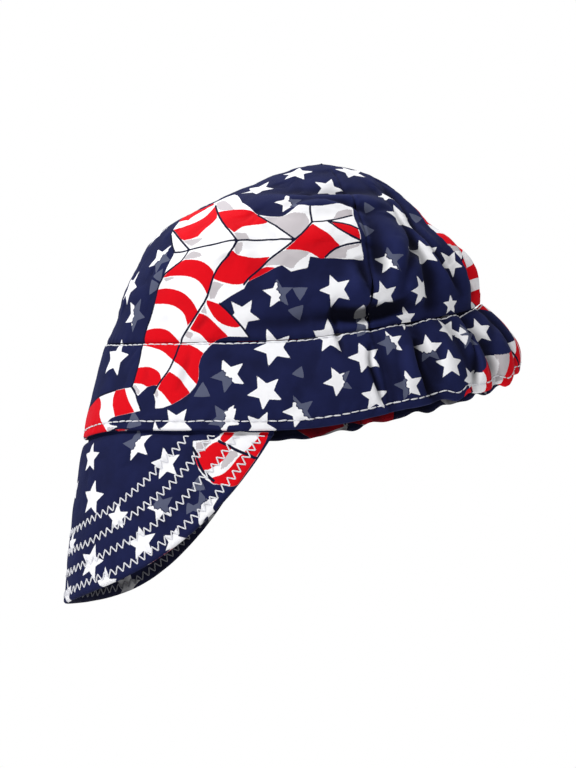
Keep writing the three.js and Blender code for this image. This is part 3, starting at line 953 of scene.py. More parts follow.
# %% Ribbon charts
ribbon_ground = [
    dict(
        photo_x=[179, 184, 190.5, 200.5, 214, 225, 235, 242.5, 252.5, 258, 269.5, 282, 289.5, 298.5, 310,
                 323, 333, 344.5, 351, 354.5, 358, 361, 362.5, 363.5, 346, 332, 320.5, 310, 307.5, 291, 282,
                 275.5, 263, 247.5, 244, 231, 219.5, 228.5, 241, 249.5, 228.5, 217, 209.5, 203.5, 200.5,
                 198.5, 199, 198.5, 196, 190, 180.5, 171.5, 162.5, 155, 155.5, 153.5, 157, 153.5, 147, 138,
                 131.5, 133.5, 138, 142.5, 146, 154, 155.5, 157, 159, 162.5, 165, 168.5, 172.5, 174.5, 172,
                 171, 173],
        photo_y=[222, 217, 213, 209.5, 203, 198, 194.5, 203, 210, 215, 216.5, 216.5, 212, 205, 206, 205.5,
                 204, 205, 207, 218.5, 227, 241, 251.5, 260, 259, 258, 258, 256.5, 268, 271.5, 265, 267.5,
                 274.5, 282, 288.5, 296, 303.5, 311.5, 325.5, 337, 336.5, 339, 346.5, 353.5, 358.5, 366.5,
                 371, 378.5, 385.5, 393, 400, 404.5, 408, 408.5, 401.5, 393, 385.5, 385, 387, 396, 386.5,
                 383, 367, 345.5, 329.5, 304.5, 299.5, 289.5, 283.5, 278, 272.5, 264.5, 257, 252, 243.5,
                 235.5, 230.5],
    ),
    dict(
        photo_x=[88, 93, 99, 107, 115, 124, 131, 136.5, 136.5, 141.5, 135.5, 124, 115, 110.5, 107.5, 109.5,
                 117.5, 116, 129, 127, 117.5, 104.5, 94.5, 85, 80, 80, 81, 84],
        photo_y=[409.5, 402.5, 396, 393, 390.5, 388.5, 387.5, 397, 401, 410.5, 412, 414.5, 416.5, 418.5,
                 422, 424.5, 426.5, 429, 429, 431, 434, 438.5, 441.5, 441, 437, 429.5, 418.5, 411],
    ),
]
red_patches = [
    dict(
        photo_x=[179, 184, 190.5, 200.5, 214, 214, 203.5, 194, 188.5, 185],
        photo_y=[222, 216.5, 212.5, 209, 202.5, 205, 210.5, 216, 220.5, 220.5],
    ),
    dict(
        photo_x=[173.5, 181.5, 193, 202, 209, 215.5, 218.5, 212, 203, 198, 191, 182, 177.5],
        photo_y=[230, 227.5, 223.5, 219, 213.5, 206, 216.5, 223.5, 231, 236.5, 239, 241, 234.5],
    ),
    dict(
        photo_x=[218.5, 226, 252.5, 257.5, 268, 261.5, 249, 241, 234, 224, 218.5],
        photo_y=[212, 210.5, 210.5, 215, 222, 224.5, 225.5, 227, 232.5, 224.5, 216.5],
    ),
    dict(
        photo_x=[232.5, 236, 244, 256.5, 270, 256.5, 249, 245.5, 235, 223.5, 214.5, 213, 217, 224.5],
        photo_y=[250, 254, 256.5, 258, 257, 272, 278, 283.5, 285, 282.5, 279.5, 277, 269.5, 259],
    ),
    dict(photo_x=[263, 275.5, 263, 247.5, 251.5], photo_y=[266.5, 267.5, 274.5, 282, 275.5]),
    dict(
        photo_x=[285, 295, 304.5, 312.5, 320.5, 330.5, 340, 333, 325.5, 320.5, 316.5, 310, 298.5],
        photo_y=[249.5, 241, 231, 223.5, 228.5, 235, 245.5, 250, 258, 258.5, 256.5, 252, 249.5],
    ),
    dict(photo_x=[330.5, 346, 358, 360.5, 349.5, 339.5], photo_y=[221.5, 224, 229, 240, 235, 229]),
    dict(
        photo_x=[163, 167.5, 175, 182.5, 196, 203.5, 210, 214.5, 212, 207.5, 205, 200.5, 194, 184.5, 172],
        photo_y=[278, 272.5, 266.5, 260, 259.5, 262, 267, 273, 282, 295.5, 289.5, 282.5, 278, 275.5, 276],
    ),
    dict(
        photo_x=[157, 163.5, 171, 180, 186.5, 193, 198, 193, 187.5, 186.5, 184.5, 180.5, 174.5, 167, 154],
        photo_y=[290, 288.5, 288.5, 291, 295, 302, 311.5, 319, 326, 321, 314.5, 310, 306, 304, 304],
    ),
    dict(
        photo_x=[207, 210.5, 221, 228.5, 241, 236, 224.5, 215.5, 209.5, 206],
        photo_y=[300, 301, 304.5, 311.5, 326, 328, 325.5, 319.5, 310, 303],
    ),
    dict(
        photo_x=[190, 199, 205, 213, 228.5, 217, 209, 205, 201.5, 197.5, 193],
        photo_y=[329, 313, 314.5, 321, 336.5, 339.5, 345.5, 339, 335, 332.5, 331],
    ),
    dict(
        photo_x=[146, 152.5, 160.5, 167.5, 173, 180, 177.5, 173.5, 169, 164, 157.5, 149, 142.5],
        photo_y=[330.5, 328.5, 328, 330, 334.5, 342.5, 350.5, 360.5, 357, 352, 349, 346.5, 345.5],
    ),
    dict(
        photo_x=[182, 186.5, 196, 203.5, 200.5, 198.5, 199, 198.5, 196.5, 191.5, 185, 180.5, 173.5, 177.5,
                 181],
        photo_y=[342.5, 343.5, 347.5, 353, 358.5, 366.5, 371, 378.5, 385, 378.5, 371, 365.5, 361, 350.5,
                 343.5],
    ),
    dict(
        photo_x=[137, 143, 150, 156, 160, 161.5, 157, 153.5, 147.5, 144, 139.5, 133.5],
        photo_y=[368, 367, 367, 369.5, 373.5, 380, 385.5, 385, 387, 385, 383.5, 383.5],
    ),
    dict(
        photo_x=[169, 176, 182, 186.5, 190, 180.5, 171.5, 167.5, 162.5, 157.5, 161.5],
        photo_y=[371.5, 375.5, 381.5, 388, 393, 400, 404.5, 399.5, 393, 389, 381],
    ),
    dict(
        photo_x=[86, 93, 99, 101, 101, 99.5, 100, 102.5, 106, 109, 104.5, 82, 80, 82],
        photo_y=[411, 403, 396.5, 401, 407, 412, 417, 423.5, 429, 433, 433.5, 437.5, 429.5, 417],
    ),
    dict(
        photo_x=[115.5, 125, 127, 130, 134.5, 124, 115, 113.5, 112.5, 113.5],
        photo_y=[390.5, 388.5, 396.5, 404, 412, 414.5, 416.5, 410.5, 402.5, 395.5],
    ),
    dict(
        photo_x=[84, 98.5, 113, 117, 129, 127, 117.5, 104.5, 94.5],
        photo_y=[439.5, 436.5, 434, 429, 429, 431, 434, 438.5, 441.5],
    ),
]
warm_patches = [
    dict(photo_x=[216.5, 223.5, 231, 235, 219.5, 217], photo_y=[203, 200.5, 205.5, 210, 210.5, 207]),
    dict(
        photo_x=[262.5, 282, 292, 305, 310.5, 304.5, 295, 282, 269.5],
        photo_y=[216.5, 217, 212, 213.5, 222, 231, 238.5, 229.5, 221],
    ),
    dict(
        photo_x=[285, 298.5, 310, 306, 297.5, 293.5, 289.5, 282, 269.5, 263.5, 274.5],
        photo_y=[249.5, 249.5, 252.5, 256.5, 261.5, 268, 268, 265, 265.5, 265.5, 256.5],
    ),
    dict(photo_x=[234, 246.5, 249.5, 237.5], photo_y=[232.5, 233, 239.5, 240]),
    dict(photo_x=[234, 237.5, 243, 242.5, 239.5, 236], photo_y=[248, 242.5, 242, 249, 254, 253.5]),
    dict(photo_x=[333.5, 337, 346, 351.5, 353, 340.5], photo_y=[218.5, 211.5, 209, 210, 215, 218]),
    dict(photo_x=[326.5, 333, 342, 360.5, 358.5, 347, 346], photo_y=[258, 250, 247, 244, 246.5, 250, 258]),
    dict(photo_x=[210, 208.5, 213, 223.5, 218.5, 214.5], photo_y=[298.5, 292, 281, 284.5, 289.5, 298.5]),
    dict(photo_x=[182.5, 194, 203, 200.5, 192, 187], photo_y=[241, 239, 237.5, 241, 246, 244]),
    dict(photo_x=[188, 193, 200, 202, 194, 183.5], photo_y=[254, 251, 252.5, 256, 258.5, 259.5]),
    dict(photo_x=[163.5, 172.5, 174.5, 171, 166], photo_y=[278.5, 276.5, 277.5, 279.5, 281.5]),
    dict(photo_x=[200.5, 205, 207], photo_y=[312, 305, 314]),
    dict(photo_x=[187.5, 193.5, 190.5, 185], photo_y=[331, 333.5, 339, 336]),
    dict(photo_x=[154, 157, 158.5, 157.5, 156], photo_y=[393, 389.5, 392.5, 398, 397]),
    dict(photo_x=[132, 135.5, 140, 138], photo_y=[385, 385, 391.5, 395.5]),
    dict(photo_x=[107, 115, 110.5], photo_y=[427, 427, 432.5]),
]
fold_lines = [
    dict(photo_x=[173, 178, 184, 189], photo_y=[230.5, 237, 244, 249.5]),
    dict(
        photo_x=[174.5, 181.5, 189, 200.5, 214, 231, 244, 259, 275.5, 295],
        photo_y=[252.5, 252, 250, 247, 244.5, 240.5, 239.5, 240.5, 239.5, 239.5],
    ),
    dict(photo_x=[215.5, 218.5, 224, 231, 237], photo_y=[205.5, 215.5, 224.5, 232.5, 240.5]),
    dict(
        photo_x=[237, 232.5, 224.5, 214.5, 210.5, 206.5, 197.5, 189, 183, 181, 177.5, 173.5, 169, 161.5,
                 156, 154],
        photo_y=[240.5, 250, 259, 273, 286, 299, 313, 326.5, 336, 342.5, 350.5, 360.5, 370, 380, 388, 393],
    ),
    dict(photo_x=[171, 172, 174.5], photo_y=[235.5, 243.5, 252]),
    dict(
        photo_x=[189, 184.5, 179, 171, 165, 162.5, 158, 155.5, 151, 146, 142.5, 138, 133.5, 131.5],
        photo_y=[250, 257, 263, 269, 273.5, 278, 286.5, 299.5, 315, 329.5, 345.5, 367, 383, 386.5],
    ),
    dict(photo_x=[258, 273, 282, 295], photo_y=[215.5, 224, 230.5, 239.5]),
    dict(
        photo_x=[312, 304.5, 295, 283.5, 269.5, 256.5, 249, 244],
        photo_y=[222, 231, 239.5, 249, 259, 272, 278, 284.5],
    ),
    dict(photo_x=[310, 310, 312], photo_y=[206.5, 209.5, 222]),
    dict(photo_x=[312, 326.5, 340.5, 352], photo_y=[222, 221, 218.5, 215.5]),
    dict(photo_x=[328.5, 339.5, 349.5, 360.5], photo_y=[221.5, 229, 235, 240.5]),
    dict(photo_x=[330.5, 346, 358], photo_y=[221.5, 223.5, 228.5]),
    dict(photo_x=[325.5, 333, 342, 360.5], photo_y=[257, 249.5, 245.5, 242.5]),
    dict(photo_x=[219.5, 228.5, 241, 249.5], photo_y=[303.5, 311.5, 325.5, 337]),
    dict(photo_x=[131.5, 135.5, 137, 141], photo_y=[386.5, 392.5, 399.5, 410]),
    dict(photo_x=[88, 93, 99, 107, 116], photo_y=[409.5, 402.5, 396, 393, 390]),
    dict(photo_x=[84, 95.5, 108.5, 117.5], photo_y=[438, 435.5, 434, 434]),
    dict(photo_x=[110, 113, 116.5, 129], photo_y=[432, 430.5, 428, 428.5]),
]
peak_ground = [
    dict(
        photo_x=[193, 213, 224, 269, 257, 238, 213, 205, 199, 193],
        photo_y=[441, 439.5, 431, 431, 458, 485, 484, 479, 470, 454],
    ),
    dict(photo_x=[150, 172, 190, 196, 180, 160], photo_y=[572, 553, 536, 541, 560, 579]),
]
peak_red = [
    dict(photo_x=[220, 224, 237, 230, 224], photo_y=[439, 432, 431, 438, 443]),
    dict(
        photo_x=[195, 205, 211, 219, 231, 226, 221, 211, 201, 196],
        photo_y=[454, 450, 444, 441, 448, 457, 463, 469, 471, 463],
    ),
    dict(
        photo_x=[213, 221, 230, 239, 245, 256, 238, 213, 210],
        photo_y=[477, 475, 468, 456, 453, 458, 485, 484, 480],
    ),
    dict(photo_x=[245, 257, 260, 269, 264, 257], photo_y=[452, 440, 432, 431, 445, 457]),
    dict(photo_x=[162, 178, 183, 170, 158], photo_y=[563, 550, 554, 568, 577]),
]
peak_warm = [
    dict(photo_x=[196, 208, 210, 203, 196], photo_y=[443, 440, 443, 449, 450]),
    dict(photo_x=[226, 236, 238, 228, 220, 222], photo_y=[452, 450, 455, 466, 470, 462]),
]
peak_lines = [
    dict(photo_x=[219, 232, 246, 257], photo_y=[441, 448, 454, 458]),
    dict(photo_x=[193, 198, 205, 214], photo_y=[448, 462, 474, 481]),
]
cap_charts = dict(
    stars=crown_stars, chips=dict(ink_echo=grey_chips, ink_white=white_chips),
    grounds=ribbon_ground, reds=red_patches, warms=warm_patches, lines=fold_lines,
)
peak_charts = dict(
    stars=peak_stars, chips=dict(ink_echo=peak_chips),
    grounds=peak_ground, reds=peak_red, warms=peak_warm, lines=peak_lines,
)


def loop_depth(flat, loop):
    """How far inside a closed loop each flat point lies: the least distance to its edges, positive
    where an odd number of edges is crossed on the way out."""
    best = np.full(len(flat), 1e9)
    inside = np.zeros(len(flat), bool)
    for start, end in zip(loop, np.roll(loop, -1, axis=0)):
        step = end - start
        away = flat - start
        share = np.clip((away @ step) / max(step @ step, 1e-12), 0, 1)
        best = np.minimum(best, np.hypot(*(away - share[:, None] * step).T))
        crosses = (start[1] > flat[:, 1]) != (end[1] > flat[:, 1])
        if step[1]:
            inside ^= crosses & (flat[:, 0] < start[0] + away[:, 1] * step[0] / step[1])
    return np.where(inside, best, -best)


def print_loops(inks, ink, seen, flat, scale, rows, soft=True):
    """The greatest depth of each point inside any of the loops, in millimetres."""
    for row in rows:
        loop = chart_line(seen, row)
        loop = softened(loop) if soft else loop
        near = near_chart(flat, loop, 0.08)
        if len(near):
            depth = loop_depth(flat[near], loop) * scale[near]
            inks[ink][near] = np.maximum(inks[ink][near], depth)


def print_lines(inks, seen, flat, scale, rows, half_width=0.5):
    """Half the line's width less the distance from its middle."""
    for row in rows:
        line = softened(chart_line(seen, row), closed=False)
        near = near_chart(flat, line, 0.06)
        if len(near):
            depth = half_width - distance_to_line(flat[near], line)[0] * scale[near]
            inks["ink_line"][near] = np.maximum(inks["ink_line"][near], depth)


print(len(red_patches) + len(peak_red), "red patches are charted")

# %% [markdown]
# ## Printing the cloth
# The left side follows the charts. The print repeats on the cloth, so the right side carries the same
# ribbon the other way round, and stars drawn from a seed fill the rest, no two too close. A second
# ribbon runs down the back, where the photograph shows only its edge.

# %% Ink layers
INKS = ("ink_white", "ink_echo", "ink_red", "ink_warm", "ink_line")
FAR_OUTSIDE = -9.0
TURNED_ABOUT, BACK_STARTS, BACK_SCALE = -35.0, 45, 95
PATCH_OVERLAP, LINE_OVERLAP = 0.3, 0.5
STAR_SPACING, STAR_TRIES = 23.5, 9000

# The middle line of the back's ribbon, in mm to the left of the cap's middle, and up.
back_ribbon = dict(
    left=[-8, 6, 21, 23, 15, 3, -7, -5, 10, 26, 38, 50],
    up=[120, 113, 101, 87, 75, 65, 56, 44, 37, 33, 27, 16],
)


def blank_inks(number):
    """Every ink far outside, for a number of points."""
    return {ink: np.full(number, FAR_OUTSIDE) for ink in INKS}


def print_ribbons(inks, points, seen, charts):
    """The left half takes the charts as they are, and the right half takes the first ground's turned
    round. No patch or line runs past the ground by more than its overlap."""
    left = points[:, 0] >= 3 * RIGHT_OF_MIDDLE
    turned = points * [-1, -1, 1] + [0, 2 * TURNED_ABOUT, 0]
    grounds = charts["grounds"]
    for half, places, loops in ((left, points, grounds), (~left, turned, grounds[:1])):
        chosen = np.flatnonzero(half)
        flat, scale = as_seen_from_inside(places[chosen])
        part = blank_inks(len(chosen))
        print_loops(part, "ink_white", seen, flat, scale, loops, soft=False)
        print_loops(part, "ink_red", seen, flat, scale, charts["reds"])
        print_loops(part, "ink_warm", seen, flat, scale, charts["warms"])
        print_lines(part, seen, flat, scale, charts["lines"])
        for ink in ("ink_red", "ink_warm", "ink_line"):
            overlap = LINE_OVERLAP if ink == "ink_line" else PATCH_OVERLAP
            part[ink] = np.minimum(part[ink], part["ink_white"] + overlap)
        for ink in INKS:
            inks[ink][chosen] = np.maximum(inks[ink][chosen], part[ink])


def print_back_ribbon(inks, points):
    """Half the width less the distance from the middle line, flattened as seen from behind the head.
    Red, grey and thin dark stripes cross it: half their width less the distance along the line."""
    behind = np.flatnonzero(points[:, 1] > BACK_STARTS)
    cloth = points[behind]
    chart = np.stack([back_ribbon["left"], back_ribbon["up"]], -1)
    middle = [np.hypot(*(cloth[:, [0, 2]] - place).T).argmin() for place in chart]
    flat, scale = as_seen_from_inside(cloth, BACK_MIDDLE)
    line = softened(softened(flat[middle], closed=False), closed=False)
    distance, walked, side = distance_to_line(flat, line)
    off, walked = distance * scale * side, walked * BACK_SCALE
    width = (11 + 2 * np.sin(walked / 9)) * np.clip((walked.max() - walked) / 22, 0.2, 1)
    white = np.minimum(width - np.abs(off), walked - 0.25 * off)
    bent = walked + 0.3 * off + 2.2 * np.sin(off / 4 + walked / 13)
    red = 4.4 - np.abs(bent % 16.5 - 8)
    warm = np.minimum(2.6 - np.abs((bent + 3) % 49.5 - 17), off + 2)
    fold = 0.5 - np.abs((walked - 0.35 * off) % 41 - 19)
    for ink, depth, overlap in (
        ("ink_white", white, 0), ("ink_red", red, PATCH_OVERLAP),
        ("ink_warm", warm, PATCH_OVERLAP), ("ink_line", fold, LINE_OVERLAP),
    ):
        inks[ink][behind] = np.maximum(inks[ink][behind], np.minimum(depth, white + overlap))


def scattered_places(points, normals, taken, keep_out, seed):
    """Points drawn in a seeded order, each kept if it stands clear of those already taken."""
    draw = np.random.default_rng(seed)
    taken = [np.asarray(place) for place in taken]
    chosen = []
    for index in draw.permutation(len(points))[:STAR_TRIES]:
        if keep_out[index]:
            continue
        place = points[index]
        if min((np.linalg.norm(place - other) for other in taken), default=1e9) > STAR_SPACING:
            taken.append(place)
            chosen.append((place, normals[index]))
    return chosen


def joined(names, key):
    """The points of some sheets, one after the other."""
    return np.concatenate([sheets[name][key].reshape(-1, 3) for name in names])


def print_cloth(names, seen, charts, seed):
    """All ink layers of some sheets, as one array for each ink, in the sheets' order."""
    points = joined(names, "outer")
    normals = np.concatenate([grid_normals(sheets[name]["outer"]).reshape(-1, 3) for name in names])
    inks = blank_inks(len(points))
    print_ribbons(inks, points, seen, charts)
    if "band_back" in names:
        print_back_ribbon(inks, points)
    ribbon = inks["ink_white"].copy()
    stars_only = blank_inks(len(points))
    centres = []
    for row in charts["stars"]:
        place, normal = on_cloth(seen, row["photo_x"], row["photo_y"])
        centres.append(place)
        print_star(stars_only, points, place, normal, row)
    in_view = (normals @ towards_camera > WELL_SEEN) & (points[:, 0] > RIGHT_OF_MIDDLE)
    keep_out = in_view | (ribbon > FAR_OUTSIDE + 1)
    if "peak" in names:
        keep_out |= (sheets["peak"]["along"] < 6).ravel()
    draw = np.random.default_rng(seed)
    extra = scattered_places(points, normals, centres, keep_out, seed)
    for number, (place, normal) in enumerate(extra):
        row = dict(turn=draw.uniform(0, 72), size=draw.uniform(7.2, 9.0), grey_turn=draw.uniform(0, 360),
                   grey_from=0.1 if number % 4 == 1 else ALL_WHITE)
        print_star(stars_only, points, place, normal, row)
    for ink, rows in charts["chips"].items():
        for row in rows:
            print_chip(stars_only[ink], points, *on_cloth(seen, row["photo_x"], row["photo_y"]), row)
    for ink in ("ink_white", "ink_echo"):
        inks[ink] = np.maximum(inks[ink], np.minimum(stars_only[ink], -ribbon))
    print(names[0], "and others:", len(centres), "charted and", len(extra), "scattered stars")
    return inks


cap_inks = print_cloth(cap_names, cap_seen, cap_charts, seed=41)
peak_inks = print_cloth(["peak"], peak_seen, peak_charts, seed=43)

# %% [markdown]
# ## Building the cloth pieces
# Each sheet's outer and inner grids become one closed shell. The inner side carries the same inks,
# since a print shows through to the back of thin cotton, and is darkened there by painted shade.


# %% Cloth pieces
def both_faces(grid, values):
    """Values of the outer grid, and then of every other point of it for the inner grid."""
    values = values.reshape(*grid.shape, -1)
    thinned = values[::2, ::2]
    both = np.concatenate([values.reshape(-1, values.shape[-1]), thinned.reshape(-1, values.shape[-1])])
    return both[:, 0] if both.shape[1] == 1 else both


def box_mean(values, reach, axis):
    """The mean over a window of 2 * reach + 1 points, from differences of running sums."""
    pad = [(0, 0), (0, 0)]
    pad[axis] = (reach + 1, reach)
    total = np.cumsum(np.pad(values, pad, mode="edge"), axis=axis)
    size = values.shape[axis]
    after = np.take(total, np.arange(size) + 2 * reach + 1, axis=axis)
    return (after - np.take(total, np.arange(size), axis=axis)) / (2 * reach + 1)


def hollows(sheet):
    """How far the cloth lies below the mean of its surroundings, twice averaged over about 12 mm."""
    fold = sheet["fold"]
    smooth = fold
    for _ in range(2):
        for axis, travel in ((0, sheet["across"]), (1, sheet["up"])):
            step = np.ptp(travel, axis=axis).max() / fold.shape[axis]
            smooth = box_mean(smooth, max(1, int(6 / max(step, 0.1))), axis)
    return np.clip(smooth - fold, -1.5, 4)


def cloth_piece(name, sheet, inks, start):
    """One closed shell, with its ink layers, how deep it lies in a hollow, and which points are inside."""
    grid = sheet["around"]
    vertices = np.concatenate([sheet["outer"].reshape(-1, 3), sheet["inner"][::2, ::2].reshape(-1, 3)])
    layers = {ink: both_faces(grid, values[start : start + grid.size]) for ink, values in inks.items()}
    # The hollow and inside layers feed the cotton's painted shade in hollows and on the inner side, and its
    # painted highlight on ridges.
    layers["hollow"] = both_faces(grid, hollows(sheet))
    layers["inside"] = (np.arange(len(vertices)) >= grid.size) * 1.0
    uv = both_faces(grid, np.stack([sheet["across"], sheet["up"]], -1))
    return mesh_object(name, vertices, shell_faces(*grid.shape), layers, uv)


cloth = {}
start = 0
for name in cap_names:
    cloth[name] = cloth_piece("cloth_" + name, sheets[name], cap_inks, start)
    start += sheets[name]["around"].size
cloth["peak"] = cloth_piece("cloth_peak", peak, peak_inks, 0)
for name, piece in cloth.items():
    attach(piece, "root")
    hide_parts(name)
    "quilted_cotton" if name == "peak" else "printed_cotton"
    print(name, len(piece.data.loops) - 2 * len(piece.data.polygons), "triangles")

# %% [markdown]
# ## Thread
# White thread holds the band with a straight topstitch above and below, and quilts the peak with rows
# of zigzag. Each straight stitch is a short bead that sinks into the cloth at both ends. A zigzag row
# is one bent thread, a small round profile carried along its path.


# %% Thread shapes
def tube(path, normals, radius, sides=6, flat=0.75, dip=None):
    """A round profile, pressed a little flat, carried along a path, with its ends drawn to points."""
    ahead = unit(np.gradient(path, axis=0))
    side = unit(np.cross(ahead, normals))
    out = np.cross(side, ahead)
    angle = np.arange(sides) * 2 * np.pi / sides
    size = np.full(len(path), radius) if dip is None else radius * dip
    ring = side[:, None] * np.cos(angle)[:, None] + out[:, None] * (np.sin(angle) * flat)[:, None]
    vertices = (path[:, None] + ring * size[:, None, None]).reshape(-1, 3)
    i, j = np.meshgrid(np.arange(len(path) - 1), np.arange(sides), indexing="ij")
    a, b = (i * sides + j).ravel(), (i * sides + (j + 1) % sides).ravel()
    return vertices, np.stack([a, a + sides, b + sides, b], -1)


def thread_piece(name, strands, inside=()):
    """Many strands as one mesh, each with its own faces moved on by the points before it. Those on the
    cap's inner side are marked."""
    vertices, faces, total = [], [], 0
    for points, quads in (*strands, *inside):
        vertices.append(points)
        faces.append(quads + total)
        total += len(points)
    outer = sum(len(points) for points, quads in strands)
    marks = dict(inside=(np.arange(total) >= outer) * 1.0)
    piece = mesh_object(name, np.concatenate(vertices), np.concatenate(faces).tolist(), marks)
    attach(piece, "root")
    return piece


def read_along(values, index):
    """Values of a row of points at fractional indices."""
    low = np.floor(index).astype(int)
    high = np.minimum(low + 1, len(values) - 1)
    share = (index - low)[:, None]
    return values[low] * (1 - share) + values[high] * share


STITCH_LIFT = 0.3
stitch_taper = np.array([0.5, 0.9, 1, 1, 1, 0.9, 0.5])


def topstitch(line, normals, stitch=3.8, gap=0.2, radius=0.34, seed=1):
    """A bead for each stitch: raised in the middle by a sine, sunk at its ends, a little uneven."""
    draw = np.random.default_rng(seed)
    travel, numbers = travel_along(line, 0), np.arange(len(line))
    places = len(stitch_taper)
    strands = []
    for begin in np.arange(0, travel[-1], stitch)[:-1]:
        length = stitch - gap + draw.uniform(-0.25, 0.25)
        spots = np.interp(begin + np.linspace(0, length, places), travel, numbers)
        points, outs = read_along(line, spots), unit(read_along(normals, spots))
        lift = STITCH_LIFT * np.sin(np.linspace(0, np.pi, places)) + draw.uniform(-0.1, 0.1)
        slew = np.linspace(-1, 1, places) * draw.uniform(-0.2, 0.2) + draw.uniform(-0.12, 0.12)
        sides = unit(np.cross(np.gradient(points, axis=0), outs))
        path = points + outs * lift[:, None] + sides * slew[:, None]
        strands.append(tube(path, outs, radius, dip=stitch_taper * draw.uniform(0.85, 1.15)))
    return strands


def place_in_rows(rising, wanted):
    """Where each value falls in its own rising row of numbers: the number below, and the share of the
    way to the next."""
    low = np.clip((rising <= wanted[:, None]).sum(1) - 1, 0, rising.shape[1] - 2)
    column = np.arange(len(rising))
    start, end = rising[column, low], rising[column, low + 1]
    return low, np.clip((wanted - start) / np.maximum(end - start, 1e-9), 0, 1)[:, None]


def read_grid(values, column, low, share):
    """Values of a grid between two neighbouring points of each column."""
    return values[column, low] * (1 - share) + values[column, low + 1] * share


def band_line(from_edge):
    """A walk round both bands at a distance above the rim, or below the upper edge where negative."""
    lines, outs = [], []
    for sheet in (sheets["band_front"], sheets["band_back"]):
        up = sheet["up"]
        height = up[:, -1] + from_edge if from_edge < 0 else np.full(len(up), from_edge)
        place = (np.arange(len(up)), *place_in_rows(up, height))
        lines.append(read_grid(sheet["outer"], *place))
        outs.append(unit(read_grid(grid_normals(sheet["outer"]), *place)))
    return np.concatenate(lines), np.concatenate(outs)


upper_stitches = topstitch(*band_line(-0.9), seed=2)
lower_stitches = topstitch(*band_line(HEM), stitch=4.4, gap=0.5, seed=3)
band_thread = thread_piece("thread_band", upper_stitches + lower_stitches)
print("band thread:", len(band_thread.data.polygons) * 2, "triangles")

# %% [markdown]
# ## Zigzag quilting
# The zigzag rows are drawn on the unrolled peak, a fixed distance inside its edge, then carried back
# to the cloth by looking up the angle and the hanging length there.


# %% Zigzag rows
THREAD_STEP = 0.28


def inside_edge(distance):
    """The edge line moved inwards along its own normal, kept where it still hangs below the band."""
    step = np.gradient(edge_line, axis=0)
    inward = unit(np.stack([-step[:, 1], step[:, 0]], -1))
    line = edge_line + inward * distance
    keep = (line[:, 1] < -PEAK_CLEAR) & (np.gradient(line[:, 0]) > 0)
    return line[keep], inward[keep]


def zigzag_row(distance, period=4.1, width=3.5):
    """Flat points along the row, moved across it by a wave: the arcsine of a sine, which is a triangle
    with rounded corners, and a slow wander."""
    line, inward = inside_edge(distance)
    travel = travel_along(line, 0)
    spots = np.arange(0, travel[-1], THREAD_STEP)
    x, y = (np.interp(spots, travel, line[:, k]) for k in (0, 1))
    nx, ny = (np.interp(spots, travel, inward[:, k]) for k in (0, 1))
    wander = 0.25 * np.sin(spots / 9) + 0.15 * np.sin(spots / 4.1)
    wave = np.arcsin(0.97 * np.sin(2 * np.pi * spots / period)) / 1.33 * width / 2 + wander
    return np.stack([x + nx * wave, y + ny * wave], -1), wave


def onto_peak(flat, side, lift):
    """Flat points of the unrolled peak carried to one face of the cloth, and lifted off it."""
    around = np.interp(flat[:, 0], rim_travel, rim_angles)
    along = -flat[:, 1]
    column = (around + PEAK_SPAN_DEG) / (2 * PEAK_SPAN_DEG) * (len(peak["around"]) - 1)
    left = np.clip(np.floor(column).astype(int), 0, len(peak["around"]) - 2)
    share = (column - left)[:, None]
    grid = peak[side]
    outs = grid_normals(grid) * (1 if side == "outer" else -1)
    points, normals = 0, 0
    for edge, weight in ((left, 1 - share), (left + 1, share)):
        place = (edge, *place_in_rows(-peak["along"][edge], -along))
        points = points + read_grid(grid, *place) * weight
        normals = normals + read_grid(outs, *place) * weight
    normals = unit(normals)
    return points + normals * lift[:, None], normals


THREAD_RADIUS, THREAD_LIFT, TURN_SINK, TURN_FROM = 0.36, 0.3, 0.22, 1.15
strands = dict(outer=[], inner=[])
for number in range(ROW_COUNT):
    flat, wave = zigzag_row(ROW_FIRST + ROW_STEP * number)
    lift = THREAD_LIFT - TURN_SINK * (np.abs(wave) > TURN_FROM)
    for side, made in strands.items():
        path, outs = onto_peak(flat, side, lift)
        made.append(tube(path, outs, THREAD_RADIUS, sides=5))
peak_thread = thread_piece("thread_peak", strands["outer"], strands["inner"])
print("peak thread:", len(peak_thread.data.polygons) * 2, "triangles")

# %% [markdown]
# ## Cut sizes
# Each cloth piece was cut flat before it was sewn. Its width and length are the longest ways along and
# up the finished cloth, folds and gathers included, and its area is the sum of its small quads.


# %% Cut sizes
def cut_size(sheet):
    """Width and length in metres, and the area: each quad's is the cross product of two of its sides."""
    outer = sheet["outer"] / 1000
    width, length = travel_along(outer, 0).max(), travel_along(outer, 1).max()
    along, up = np.diff(outer, axis=0)[:, :-1], np.diff(outer, axis=1)[:-1]
    area = np.linalg.norm(np.cross(along, up), axis=-1).sum()
    return (round(float(width), 3), round(float(length), 3)), round(float(area), 5)


held_by = {
    "crown_front_left": dict(held="draped", rests_on=["band_front"]),
    "crown_front_right": dict(held="draped", rests_on=["band_front"]),
    "crown_back_left": dict(held="gathered", rests_on=["band_back"]),
    "crown_back_right": dict(held="gathered", rests_on=["band_back"]),
    "band_front": dict(held="stretched", with_pieces=[band_thread]),
    "band_back": dict(held="gathered"),
    "peak": dict(held="hung", rests_on=["band_front"], with_pieces=[peak_thread]),
}
for name, facts in held_by.items():
    flat, area = cut_size(sheets[name])
    print(name, "cut", np.round(flat, 3).tolist(), "m, area", round(area, 4), "square metres")

# %% [markdown]
# ## Writing shaders as sums
# Node graphs are hard to read once they hold sums. A small class wraps a socket and lets Python's own
# operators add the Math nodes, so that a mask can be written as a formula.


